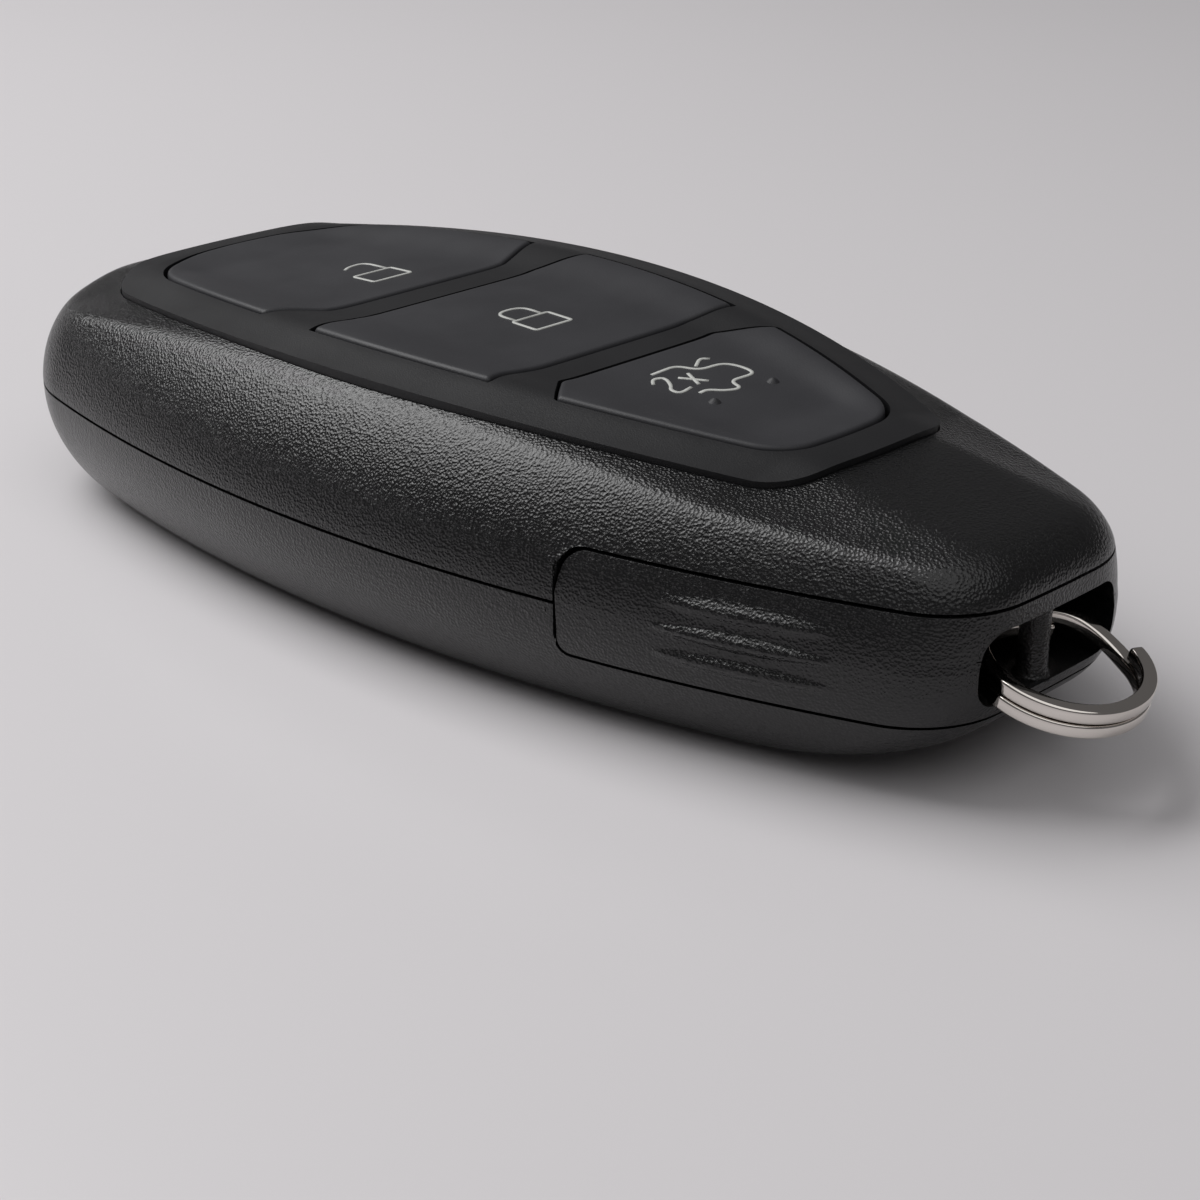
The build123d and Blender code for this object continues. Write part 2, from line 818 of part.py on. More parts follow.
def antenna_winding():
    """Copper winding of the aerial coil between the core's flanges."""
    side = antenna_side - 2 * antenna_flange
    ring = RectangleRounded(side, side, antenna_flange)
    ring -= Rectangle(antenna_core_side, antenna_core_side)
    low = board_bottom - antenna_height + antenna_flange
    return Pos(antenna_x, antenna_y, 0) * prism(ring, low, board_bottom - antenna_flange)


def chip(x, y, length, width, height):
    """One flat component on the board with a chamfered top."""
    body = Pos(x, y, 0) * prism(Rectangle(length, width), board_top, board_top + height)
    return chamfer(body.faces().sort_by(Axis.Z)[-1].edges(), height * chip_edge_share)


def small_parts():
    """Rows of small resistors and capacitors, each a solid of its own."""
    pieces = []
    block = prism(Rectangle(chip_length, chip_width), board_top, board_top + chip_height)
    for column in range(chip_columns):
        for row in range(chip_rows):
            x = chip_field_x + column * chip_pitch
            y = half_width * chip_field_y_share + row * chip_pitch
            pieces.append(Pos(x, y, 0) * block)
    return Compound(children=pieces)


def grip_rib(z_middle, side):
    """One leaf-shaped rib on an arm, tapered to nothing at both ends."""
    x_middle = (grip_start_x + grip_end_x) / 2
    reach = half_width + overrun
    ends = []
    for x in (grip_start_x, x_middle, grip_end_x):
        ends.append(arc_y(x, half_width, side_radius, widest_x))
    crest = ends[1] + grip_depth
    start = (grip_start_x, 0, z_middle)
    end = (grip_end_x, 0, z_middle)
    over = ThreePointArc(start, (x_middle, 0, z_middle + grip_height / 2), end)
    under = ThreePointArc(end, (x_middle, 0, z_middle - grip_height / 2), start)
    through = extrude(make_face([over, under]), amount=reach, both=True)
    bow = ThreePointArc((grip_start_x, ends[0]), (x_middle, crest), (grip_end_x, ends[2]))
    inner = ends[2] - overrun
    corners = [(grip_end_x, ends[2]), (grip_end_x, inner), (grip_start_x, inner), (grip_start_x, ends[0])]
    back = Polyline(*corners)
    leaf = prism(make_face([bow, back]), cover_bottom, cover_top)
    rib = through & leaf
    return rib if side > 0 else mirror(rib, Plane.XZ)


def end_cover(case):
    """U-shaped end cover: two gripped arms, and the ring end with its window and pillar."""
    zone = arm_zone(arm_thickness, 0, cover_back_x)
    body = case & zone
    window = RectangleRounded(window_top - window_bottom, window_width, window_corner)
    window = Pos(recess_back_x, 0, (window_bottom + window_top) / 2) * Rot(0, 90, 0) * window
    body -= extrude(window, amount=half_length - recess_back_x + overrun)
    pillar = prism(Circle(pillar_radius), window_bottom - pillar_root, window_top + pillar_root)
    body += Pos(pillar_x, 0, 0) * pillar
    for number in range(grip_count):
        z_middle = grip_middle_z + (number - (grip_count - 1) / 2) * grip_pitch
        for side in (-1, 1):
            body += grip_rib(z_middle, side) - prism(case_outline(arm_thickness), 0, sky)
    return body


def ring_section(angle, level):
    """Cross-section of the ring's wire at an angle about its centre and a level."""
    inner = ring_outer_radius - ring_wire_width
    turn = radians(angle)
    plane = Plane(
        origin=(0, 0, level),
        x_dir=(cos(turn), sin(turn), 0),
        z_dir=(-sin(turn), cos(turn), 0),
    )
    middle = inner + ring_wire_width / 2
    return plane * Pos(middle, 0) * Rectangle(ring_wire_width, ring_wire_height)


def ring_level(angle):
    """Level of the wire's centre: low turn, crossing, high turn."""
    rise = ring_wire_height + ring_turn_gap
    start = ring_cross_middle + 360 - ring_cross_half
    share = (angle - start) / (2 * ring_cross_half)
    share = max(0.0, min(1.0, share))
    return rise * (share * share * (3 - 2 * share) - 0.5)


def key_ring():
    """Split key ring: one flat wire wound through nearly two turns, hooked behind the pillar."""
    first = ring_cross_middle + ring_cross_half
    last = ring_cross_middle + 720 - ring_cross_half
    count = round((last - first) / ring_step)
    angles = [first + (last - first) * step / count for step in range(count + 1)]
    wire = loft([ring_section(a, ring_level(a)) for a in angles], ruled=True)
    return Pos(ring_centre_x, 0, ring_centre_z) * Rot(0, ring_droop, 0) * wire


parts = {}
case = whole_case()
parts["top_cover"] = top_cover(case)
parts["bottom_cover"] = bottom_cover(case)
parts["button_panel"] = button_panel()
for name, x in press_x.items():
    parts[f"{name}_button"] = button(name)
    parts[f"{name}_switch"] = switch_body(x)
    parts[f"{name}_plunger"] = switch_plunger(x)
parts["keypad_mat"] = keypad_mat()
parts["circuit_board"] = circuit_board()
controller_y = half_width * controller_y_share
radio_y = half_width * radio_y_share
crystal_y = half_width * crystal_y_share
controller = (controller_side, controller_side, controller_height)
radio = (radio_side, radio_side, radio_height)
crystal = (crystal_length, crystal_width, crystal_height)
parts["controller_chip"] = chip(controller_x, controller_y, *controller)
parts["radio_chip"] = chip(radio_x, radio_y, *radio)
parts["crystal"] = chip(crystal_x, crystal_y, *crystal)
parts["small_parts"] = small_parts()
parts["antenna_core"] = antenna_core()
parts["antenna_winding"] = antenna_winding()
parts["battery"] = battery()
parts["positive_contact"] = positive_contact()
parts["negative_contact"] = negative_contact()
parts["inner_tray"] = inner_tray()
parts["key_blade"] = key_blade()
parts["blade_head"] = blade_head()
parts["end_cover"] = end_cover(case)
parts["key_ring"] = key_ring()

os.makedirs("parts", exist_ok=True)
for node, shape in parts.items():
    export_step(shape, f"parts/{node}.step")
    print(node, len(shape.solids()), round(shape.volume, 2), shape.is_valid)
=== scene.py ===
"""A keyless car key fob: moulded shells, dished buttons and a split ring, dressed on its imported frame.

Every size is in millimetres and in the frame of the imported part: X towards the key ring, Y across
the case, Z up out of the buttons, with the origin on the flat of the back.
"""

from __future__ import annotations

import logging
import math
from dataclasses import dataclass
from enum import Enum

import bmesh
import bpy
import numpy as np
from mathutils import Matrix, Vector


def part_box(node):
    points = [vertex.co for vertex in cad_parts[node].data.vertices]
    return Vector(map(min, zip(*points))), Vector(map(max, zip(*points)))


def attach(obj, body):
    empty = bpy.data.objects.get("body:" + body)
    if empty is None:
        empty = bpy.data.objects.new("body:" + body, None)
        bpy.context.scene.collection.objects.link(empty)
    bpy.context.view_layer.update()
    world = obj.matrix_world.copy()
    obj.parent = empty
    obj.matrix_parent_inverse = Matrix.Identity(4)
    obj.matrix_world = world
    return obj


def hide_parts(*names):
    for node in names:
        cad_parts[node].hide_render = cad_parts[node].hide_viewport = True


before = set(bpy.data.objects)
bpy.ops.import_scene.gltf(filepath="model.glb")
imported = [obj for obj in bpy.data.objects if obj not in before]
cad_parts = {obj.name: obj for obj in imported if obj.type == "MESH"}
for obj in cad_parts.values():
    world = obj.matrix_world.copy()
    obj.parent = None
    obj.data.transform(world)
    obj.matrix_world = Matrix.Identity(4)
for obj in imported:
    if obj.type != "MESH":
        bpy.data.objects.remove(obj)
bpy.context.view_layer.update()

MM = 0.001
ON_MIDDLE = 1e-6
# Where columns cross a quarter round, closer together where it is steep.
ROUND_SHARES = (0.04, 0.14, 0.3, 0.5, 0.74, 1.0)
LOG = logging.getLogger("key_fob")


# Meshes from arrays


def grid_faces(rows: int, cols: int, closed: bool = False) -> np.ndarray:
    """Quads of a grid whose points are stored row by row.

    Args:
        rows: Number of rows of points.
        cols: Number of points in a row.
        closed: Whether the last point of a row joins the first.

    Returns:
        Index array of shape (faces, 4).
    """
    index = np.arange(rows * cols).reshape(rows, cols)
    if closed:
        index = np.hstack([index, index[:, :1]])
    corners = (index[:-1, :-1], index[:-1, 1:], index[1:, 1:], index[1:, :-1])
    return np.stack([c.ravel() for c in corners], axis=1)


def end_fans(rows: int, cols: int) -> list[np.ndarray]:
    """Triangles that close both ends of a tube about the two hub points stored after its grid.

    Args:
        rows: Number of rows of the tube's points.
        cols: Number of points round the tube.

    Returns:
        One index array of shape (cols, 3) for each end.
    """
    fans = []
    for row, hub in ((0, rows * cols), (rows - 1, rows * cols + 1)):
        edge = row * cols + np.arange(cols)
        fans.append(np.stack([edge, np.roll(edge, -1), np.full(cols, hub)], axis=1))
    return fans


def bend(start: np.ndarray, corner: np.ndarray, end: np.ndarray, steps: int) -> np.ndarray:
    """Parabolas that round corners: (1 - t) squared start, 2t(1 - t) corner and t squared end.

    Args:
        start: Where each curve starts, shape (n, 2).
        corner: The corner that each curve rounds, shape (n, 2).
        end: Where each curve ends, shape (n, 2).
        steps: Points on each curve.

    Returns:
        The points of all the curves in order, shape (n * steps, 2).
    """
    t = np.linspace(0.0, 1.0, steps)[None, :, None]
    arc = (1 - t) ** 2 * start[:, None] + 2 * t * (1 - t) * corner[:, None] + t**2 * end[:, None]
    return arc.reshape(-1, 2)


def link_new(name: str, data: bpy.types.ID) -> bpy.types.Object:
    """Make an object of some data and link it to the scene.

    Args:
        name: Name of the object.
        data: Its mesh, camera or lamp.

    Returns:
        The new object.
    """
    made = bpy.data.objects.new(name, data)
    bpy.context.scene.collection.objects.link(made)
    return made


def make_piece(name: str, points: np.ndarray, faces: list[np.ndarray]) -> bpy.types.Object:
    """A smooth shaded object from points in millimetres and arrays of faces.

    Args:
        name: Name of the object.
        points: Array of shape (points, 3).
        faces: Arrays of quads or triangles.

    Returns:
        The new object, linked to the scene, with doubles merged and faces outwards.
    """
    mesh = bpy.data.meshes.new(name)
    polygons = [face for block in faces for face in block.tolist()]
    mesh.from_pydata((points * MM).tolist(), [], polygons)
    mesh.validate()
    piece = link_new(name, mesh)
    tidy_mesh(piece)
    return piece


def tidy_mesh(piece: bpy.types.Object, merge: float = 2e-6) -> None:
    """Merge doubled points, point the faces outwards and shade the mesh smooth.

    Args:
        piece: The object to tidy.
        merge: Distance in metres within which points are one.
    """
    work = bmesh.new()
    work.from_mesh(piece.data)
    bmesh.ops.remove_doubles(work, verts=work.verts, dist=merge)
    bmesh.ops.dissolve_degenerate(work, edges=work.edges, dist=merge)
    bmesh.ops.recalc_face_normals(work, faces=work.faces)
    work.to_mesh(piece.data)
    work.free()
    piece.data.shade_smooth()


def bake_modifiers(piece: bpy.types.Object) -> None:
    """Put the result of a piece's modifiers into its mesh.

    Args:
        piece: The object whose modifiers are applied.
    """
    depsgraph = bpy.context.evaluated_depsgraph_get()
    mesh = bpy.data.meshes.new_from_object(piece.evaluated_get(depsgraph))
    piece.modifiers.clear()
    piece.data = mesh


def thicken(piece: bpy.types.Object, thickness: float) -> int:
    """Give an open skin its wall.

    Args:
        piece: The open skin, faces outwards.
        thickness: Wall in millimetres, measured inwards.

    Returns:
        Number of the first point of the wall's inner face; the points before it are the skin's.
    """
    first = len(piece.data.vertices)
    solid = piece.modifiers.new("wall", "SOLIDIFY")
    solid.thickness = thickness * MM
    solid.offset = -1.0
    solid.use_even_offset = False
    bake_modifiers(piece)
    return first


def read_points(piece: bpy.types.Object) -> np.ndarray:
    """Read a piece's points.

    Args:
        piece: The piece.

    Returns:
        Its points in millimetres, shape (points, 3).
    """
    places = np.empty(len(piece.data.vertices) * 3)
    piece.data.vertices.foreach_get("co", places)
    return places.reshape(-1, 3) / MM


def write_points(piece: bpy.types.Object, points: np.ndarray) -> None:
    """Put points in millimetres back into a piece's mesh."""
    piece.data.vertices.foreach_set("co", (points * MM).ravel())
    piece.data.update()


def hold_out(piece: bpy.types.Object, above: bool) -> None:
    """Press a shell's wall back out of the end cover's place.

    Args:
        piece: The shell with its wall.
        above: Whether the shell lies above the place, or else below it.
    """
    points = read_points(piece)
    low, high = NOTCH.reach(points[:, 0], NOTCH.gap)
    inside = points[:, 0] > NOTCH.start - NOTCH.gap
    limit = np.maximum(points[:, 2], high) if above else np.minimum(points[:, 2], low)
    points[:, 2] = np.where(inside, limit, points[:, 2])
    write_points(piece, points)


def hold_under(piece: bpy.types.Object, first: int, cover: float) -> None:
    """Keep the inner face of the upper shell a set depth under its outside.

    The wall is laid along the skin's normals, which slant at the rim and could carry it past the outside.

    Args:
        piece: The shell with its wall.
        first: Number of the first point of the inner face.
        cover: Least depth in millimetres.
    """
    points = read_points(piece)
    inner = points[first:]
    roof = FORM.upper_height(inner[:, 0], inner[:, 1]) - cover
    high = inner[:, 2] > FORM.seam + FORM.cover_from
    inner[:, 2] = np.where(high, np.minimum(inner[:, 2], roof), inner[:, 2])
    write_points(piece, points)


def round_edges(piece: bpy.types.Object, edge: float, angle: float = 40.0) -> None:
    """Round the sharp edges of a closed piece.

    Args:
        piece: The closed piece.
        edge: Width of the rounded edges in millimetres.
        angle: Least angle in degrees between faces at an edge that is rounded.
    """
    bevel = piece.modifiers.new("edge", "BEVEL")
    bevel.width = edge * MM
    bevel.segments = 2
    bevel.limit_method = "ANGLE"
    bevel.angle_limit = math.radians(angle)
    bevel.harden_normals = True
    bake_modifiers(piece)


def face_up(piece: bpy.types.Object) -> None:
    """Turn an open sheet so that its faces look up.

    Args:
        piece: The open sheet.
    """
    normals = np.zeros(len(piece.data.polygons) * 3)
    piece.data.polygons.foreach_get("normal", normals)
    if normals[2::3].mean() < 0:
        piece.data.flip_normals()


# Plan outlines


class Part(Enum):
    """The stretches of half an outline, from the middle of the back end to the middle of the ring end."""

    BACK_END = 0
    BACK_CORNER = 1
    SIDE = 2
    RING_CORNER = 3
    RING_END = 4


@dataclass(frozen=True)
class Outline:
    """Closed plan outline of two long side arcs and two shallow end arcs with rounded corners."""

    back: float
    front: float
    half: float
    side_radius: float
    widest: float
    back_bow: float
    front_bow: float
    back_corner: float
    front_corner: float
    full_share: float = 0.85
    loop_counts: tuple[int, ...] = (14, 24, 120, 20, 10)
    loop_shares: tuple[float, float] = (0.4, 0.2)

    def side_y(self, x: np.ndarray, inset: np.ndarray | float = 0.0) -> np.ndarray:
        """Half-width at x: the long side is an arc about a far centre."""
        return self.half - inset - self.side_radius + np.sqrt(self.side_radius**2 - (x - self.widest) ** 2)

    def circles(
        self,
        side: np.ndarray,
        back: np.ndarray,
        nose: np.ndarray,
        rounding: np.ndarray,
        corner_shares: tuple[float, float],
    ) -> tuple[np.ndarray, np.ndarray, np.ndarray]:
        """The five circles of the half outline when it is drawn in by the given insets.

        Each corner is a circle that touches the side arc and the end arc from inside, so its
        centre is where two circles drawn in by its radius meet.

        Args:
            side: Inset of the long side.
            back: Inset of the back end.
            nose: Inset of the ring end.
            rounding: Extra radius of the ring end's corner.
            corner_shares: How much of its inset each corner's radius loses, back and ring end.

        Returns:
            The x and y of the centres and the radii, each with one row for each stretch.
        """
        side_cy = self.half - side - self.side_radius
        back_x = self.back + back
        front_x = self.front - nose
        back_y = self.side_y(back_x + self.back_bow, side)
        front_y = self.side_y(front_x - self.front_bow, side)
        back_r = (back_y**2 + self.back_bow**2) / (2 * self.back_bow)
        front_r = (front_y**2 + self.front_bow**2) / (2 * self.front_bow)
        fillet_b = self.back_corner - back * corner_shares[0]
        fillet_f = np.minimum(self.front_corner + rounding - side * corner_shares[1], front_y * self.full_share)
        kb = self._meet(side_cy, self.side_radius - fillet_b, back_x + back_r, back_r - fillet_b, -1)
        kf = self._meet(side_cy, self.side_radius - fillet_f, front_x - front_r, front_r - fillet_f, 1)
        middle = np.zeros(side.shape)
        across = np.full(side.shape, self.widest)
        centre_x = np.stack([back_x + back_r, kb[0], across, kf[0], front_x - front_r])
        centre_y = np.stack([middle, kb[1], side_cy, kf[1], middle])
        radius = np.stack([back_r, fillet_b, np.full(side.shape, self.side_radius), fillet_f, front_r])
        return centre_x, centre_y, radius

    def points(
        self,
        part: np.ndarray,
        share: np.ndarray,
        side: np.ndarray | float = 0.0,
        back: np.ndarray | float = 0.0,
        nose: np.ndarray | float = 0.0,
        rounding: np.ndarray | float = 0.0,
        corner_shares: tuple[float, float] = (0.3, 0.25),
    ) -> tuple[np.ndarray, np.ndarray]:
        """Points of the half outline with y above nought, drawn in by the given insets.

        Args:
            part: Which stretch each point is on.
            share: How far along its stretch each point is, from 0 to 1.
            side: Inset of the long side.
            back: Inset of the back end.
            nose: Inset of the ring end.
            rounding: Extra radius of the ring end's corner.
            corner_shares: How much of its inset each corner's radius loses, back and ring end.

        Returns:
            The x and y of the points.
        """
        shape = np.broadcast(part, share, side, back, nose, rounding).shape
        part, share, side, back, nose, rounding = (
            np.broadcast_to(np.asarray(v, float), shape) for v in (part, share, side, back, nose, rounding)
        )
        cx, cy, radius = self.circles(side, back, nose, rounding, corner_shares)
        back_side = np.arctan2(cy[1] - cy[2], cx[1] - cx[2])
        ring_side = np.arctan2(cy[3] - cy[2], cx[3] - cx[2])
        back_end = np.arctan2(cy[1], cx[1] - cx[0])
        ring_end = np.arctan2(cy[3], cx[3] - cx[4])
        starts = np.stack([np.full(shape, math.pi), back_end, back_side, ring_side, ring_end])
        ends = np.stack([back_end, back_side, ring_side, ring_end, np.zeros(shape)])
        pick = part.astype(int)[None]
        x, y, r, a0, a1 = (np.take_along_axis(v, pick, 0)[0] for v in (cx, cy, radius, starts, ends))
        angle = a0 + (a1 - a0) * share
        return x + r * np.cos(angle), y + r * np.sin(angle)

    def holds(
        self,
        x: np.ndarray,
        y: np.ndarray,
        side: np.ndarray,
        back: np.ndarray,
        nose: np.ndarray,
        rounding: np.ndarray,
        corner_shares: tuple[float, float] = (0.3, 0.25),
    ) -> np.ndarray:
        """Whether each place is inside the outline drawn in by the given insets.

        A place past both of a corner's tangent points has to be within the corner's circle, and
        any other one within the side's circle and both ends' circles.

        Args:
            x: Places along the case.
            y: Places across it.
            side: Inset of the long side.
            back: Inset of the back end.
            nose: Inset of the ring end.
            rounding: Extra radius of the ring end's corner.
            corner_shares: How much of its inset each corner's radius loses, back and ring end.

        Returns:
            True where the place is inside.
        """
        y = np.abs(y)
        cx, cy, radius = self.circles(side, back, nose, rounding, corner_shares)
        far = np.hypot(x - cx, y - cy) - radius

        def turn(hub: int, tip: int) -> np.ndarray:
            """Which side of the line from one centre through another each place is on, by sign."""
            return (cx[tip] - cx[hub]) * (y - cy[hub]) - (cy[tip] - cy[hub]) * (x - cx[hub])

        in_back = (turn(2, 1) > 0) & (turn(0, 1) < 0)
        in_ring = (turn(2, 3) < 0) & (turn(4, 3) > 0)
        plain = (far[2] < 0) & (far[0] < 0) & (far[4] < 0)
        return np.where(in_back, far[1] < 0, np.where(in_ring, far[3] < 0, plain))

    def _meet(
        self, side_cy: np.ndarray, r_side: np.ndarray, end_cx: np.ndarray, r_end: np.ndarray, towards: int
    ) -> tuple[np.ndarray, np.ndarray]:
        """Where a circle about the side's centre meets one whose centre is on the middle line.

        Args:
            side_cy: Centre of the side's circle in y; its x is the widest place.
            r_side: Radius of the side's circle.
            end_cx: Centre of the end's circle in x.
            r_end: Radius of the end's circle.
            towards: 1 for the meeting place with the larger x, -1 for the other.

        Returns:
            The x and y of the meeting places.
        """
        dx = end_cx - self.widest
        dy = -side_cy
        gap = np.hypot(dx, dy)
        along = (r_side**2 - r_end**2 + gap**2) / (2 * gap)
        off = np.sqrt(np.maximum(r_side**2 - along**2, 0))
        ux, uy = dx / gap, dy / gap
        x = self.widest + along * ux
        y = side_cy + along * uy
        first = (x - off * uy, y + off * ux)
        second = (x + off * uy, y - off * ux)
        better = (first[0] - second[0]) * towards > 0
        return np.where(better, first[0], second[0]), np.where(better, first[1], second[1])

    def side_share(self, x: np.ndarray) -> np.ndarray:
        """How far along the side stretch the points at x are.

        Args:
            x: Places along the case.

        Returns:
            Share of the side's angle at each place, from its back end.
        """
        angle = [math.acos((v - self.widest) / self.side_radius) for v in self.side_limits()]
        return (np.arccos((x - self.widest) / self.side_radius) - angle[0]) / (angle[1] - angle[0])

    def side_limits(self) -> tuple[float, float]:
        """Where the side stretch starts and ends in x."""
        x, _ = self.points(np.full(2, Part.SIDE.value), np.array([0.0, 1.0]))
        return x[0], x[1]

    def loop(self, side: float, end: float) -> np.ndarray:
        """The whole closed outline drawn in by an inset of its sides and one of its ends.

        Args:
            side: Inset of the long sides.
            end: Inset of both ends.

        Returns:
            Points in order, shape (n, 2).
        """
        part = np.append(np.repeat(np.arange(len(Part)), self.loop_counts), Part.RING_END.value)
        share = np.append(np.concatenate([np.arange(n) / n for n in self.loop_counts]), 1.0)
        x, y = self.points(part, share, side, end, end, 0.0, self.loop_shares)
        upper = np.stack([x, y], axis=1)
        return np.vstack([upper, (upper * [1, -1])[-2:0:-1]])


CASE = Outline(-40.0, 40.0, 19.6, 118.0, -11.4, 0.9, 0.2, 11.3, 6.4)
PANEL = Outline(-36.0, 27.4, 14.85, 84.0, -9.0, 1.6, 0.35, 9.0, 4.3)


# Surfaces shared by all pieces


def soft_step(t: np.ndarray, blur: float) -> np.ndarray:
    """Ramp from 0 to 1 over t from 0 to 1 whose two bends are blurred.

    Args:
        t: Where on the ramp.
        blur: Width of the bends, as a share of the ramp.

    Returns:
        The difference of two softened ramps, one from t and one from t - 1.
    """

    def rise(v: np.ndarray) -> np.ndarray:
        """Softened ramp: blur times the logarithm of 1 plus e to the v over blur."""
        return blur * np.logaddexp(0.0, v / blur)

    return rise(t) - rise(t - 1.0)


@dataclass(frozen=True)
class Bow:
    """One profile of the case from its widest outline to its top: a superellipse quarter."""

    start: float
    rise: float
    run: float
    power: float

    def inset(self, height: np.ndarray) -> np.ndarray:
        """How far the outline is drawn in at a height above the seam (or depth below it)."""
        t = np.clip((height - self.start) / self.rise, 0.0, 1.0)
        return self.run * (1.0 - (1.0 - t**self.power) ** (1.0 / self.power))


@dataclass(frozen=True)
class FobForm:
    """Sizes of the case and its surfaces as functions of place."""

    seam: float = 8.0
    seam_gap: float = 0.2
    crown_top: float = 16.85
    crown_radius: float = 263.0
    crown_x: float = 0.6
    panel_step: float = 0.35
    panel_gap: float = 0.08
    panel_depth: float = 1.3
    frame_width: float = 3.1
    frame_end_width: float = 2.5
    fall_limit: float = 1.9
    fall_length: float = 6.2
    fall_blur: float = 0.5
    dish_depth: float = 0.7
    dish_flank: float = 4.0
    dish_rim_share: float = 0.92
    dish_floor_share: float = 0.62
    dish_blur: float = 0.16
    dish_end_blur: float = 0.08
    dish_least_half: float = 0.5
    nose_round: float = 4.0
    nose_round_rise: float = 8.9
    side_top: float = 8.9
    cover_from: float = 3.5
    halvings: int = 24
    shoulder_blend: float = 0.22
    up_side: Bow = Bow(0.1, 8.5, 7.0, 1.6)
    up_back: Bow = Bow(1.4, 6.6, 11.7, 2.3)
    up_nose: Bow = Bow(3.4, 5.0, 14.0, 1.9)
    low_side: Bow = Bow(0.3, 7.7, 5.3, 2.06)
    low_back: Bow = Bow(0.95, 7.05, 8.9, 2.04)
    low_nose: Bow = Bow(0.45, 7.55, 19.0, 2.5)

    def crown(self, x: np.ndarray) -> np.ndarray:
        """Height of the middle line at x: an arc."""
        drop = self.crown_radius - np.sqrt(self.crown_radius**2 - (x - self.crown_x) ** 2)
        return self.crown_top - drop

    def brink(self, x: np.ndarray) -> np.ndarray:
        """Half-width at x of the field of buttons."""
        return PANEL.side_y(x) - self.frame_width

    def field_ends(self) -> tuple[float, float]:
        """Where the field of buttons starts and ends in x."""
        return PANEL.back + self.frame_end_width, PANEL.front - self.frame_end_width

    def fall(self, x: np.ndarray, y: np.ndarray) -> np.ndarray:
        """How far the top has fallen at a place.

        It is the limit times 1 less e to the minus way over length, where the way is how far
        outside the field of buttons the place lies, with a softened start.

        Args:
            x: Places along the case.
            y: Places across it.

        Returns:
            The fall in millimetres.
        """
        edge = self.brink(np.clip(x, *self.field_ends()))
        over = np.logaddexp(0.0, (np.abs(y) - edge) / self.fall_blur) * self.fall_blur
        return self.fall_limit * (1.0 - np.exp(-over / self.fall_length))

    def case_top(self, x: np.ndarray, y: np.ndarray) -> np.ndarray:
        """Height of the case's top around the panel: one step below the panel's own surface."""
        return self.crown(x) - self.panel_step - self.fall(x, y)

    def panel_top(self, x: np.ndarray, y: np.ndarray) -> np.ndarray:
        """Height of the panel: the crown less its fall, and less a dish with soft flanks.

        Args:
            x: Places along the case.
            y: Places across it.

        Returns:
            Heights in millimetres.
        """
        brink = np.maximum(self.brink(x), self.dish_least_half)
        rim = brink * self.dish_rim_share
        floor = brink * self.dish_floor_share
        across = soft_step((rim - np.abs(y)) / (rim - floor), self.dish_blur)
        back, front = self.field_ends()
        from_end = np.minimum(x - back, front - x) / self.dish_flank
        along = soft_step(from_end, self.dish_end_blur)
        return self.crown(x) - self.fall(x, y) - self.dish_depth * across * along

    def insets(self, z: np.ndarray) -> tuple[np.ndarray, np.ndarray, np.ndarray, np.ndarray]:
        """How the outline is drawn in at a height.

        Args:
            z: Heights above the table.

        Returns:
            Insets of the side, back and ring end, and the ring corner's extra radius.
        """
        up = np.maximum(z - self.seam, 0.0)
        down = np.maximum(self.seam - z, 0.0)
        side = self.up_side.inset(up) + self.low_side.inset(down)
        back = self.up_back.inset(up) + self.low_back.inset(down)
        nose = self.up_nose.inset(up) + self.low_nose.inset(down)
        rounding = self.nose_round * np.clip(up / self.nose_round_rise, 0.0, 1.0)
        return side, back, nose, rounding

    def skin(self, part: np.ndarray, share: np.ndarray, z: np.ndarray) -> np.ndarray:
        """Points of the case's side at given heights.

        Args:
            part: Which stretch of the outline each point is on.
            share: How far along its stretch each point is.
            z: Its height, above or below the seam.

        Returns:
            Points of shape (n, 3).
        """
        x, y = CASE.points(part, share, *self.insets(z))
        return np.stack([x, y, np.broadcast_to(z, x.shape)], axis=-1)

    def side_height(self, x: np.ndarray, y: np.ndarray) -> np.ndarray:
        """Height at which the upper side passes over a place, found by halving.

        Args:
            x: Places along the case.
            y: Places across it.

        Returns:
            Heights in millimetres.
        """
        low = np.full(x.shape, self.seam)
        high = np.full(x.shape, self.seam + self.side_top)
        for _ in range(self.halvings):
            middle = (low + high) / 2
            inside = CASE.holds(x, y, *self.insets(middle))
            low = np.where(inside, middle, low)
            high = np.where(inside, high, middle)
        return (low + high) / 2

    def upper_height(self, x: np.ndarray, y: np.ndarray) -> np.ndarray:
        """Height of the upper half: the lower of its side and its top, blended where they meet.

        The blend is -k times the logarithm of the sum of e to the minus each height over k.

        Args:
            x: Places along the case.
            y: Places across it.

        Returns:
            Heights in millimetres.
        """
        k = self.shoulder_blend
        return -k * np.logaddexp(-self.side_height(x, y) / k, -self.case_top(x, y) / k)


FORM = FobForm()


def mirror_columns(grid: np.ndarray) -> np.ndarray:
    """Close a grid of half columns from one end of the case to the other by its mirror image.

    Args:
        grid: Points of shape (rows, columns, 3) with y above nought, ends on the middle line.

    Returns:
        Points of shape (rows, all columns, 3) for a grid that closes on itself.
    """
    other = grid[:, -2:0:-1].copy()
    other[..., 1] *= -1
    return np.concatenate([grid, other], axis=1)


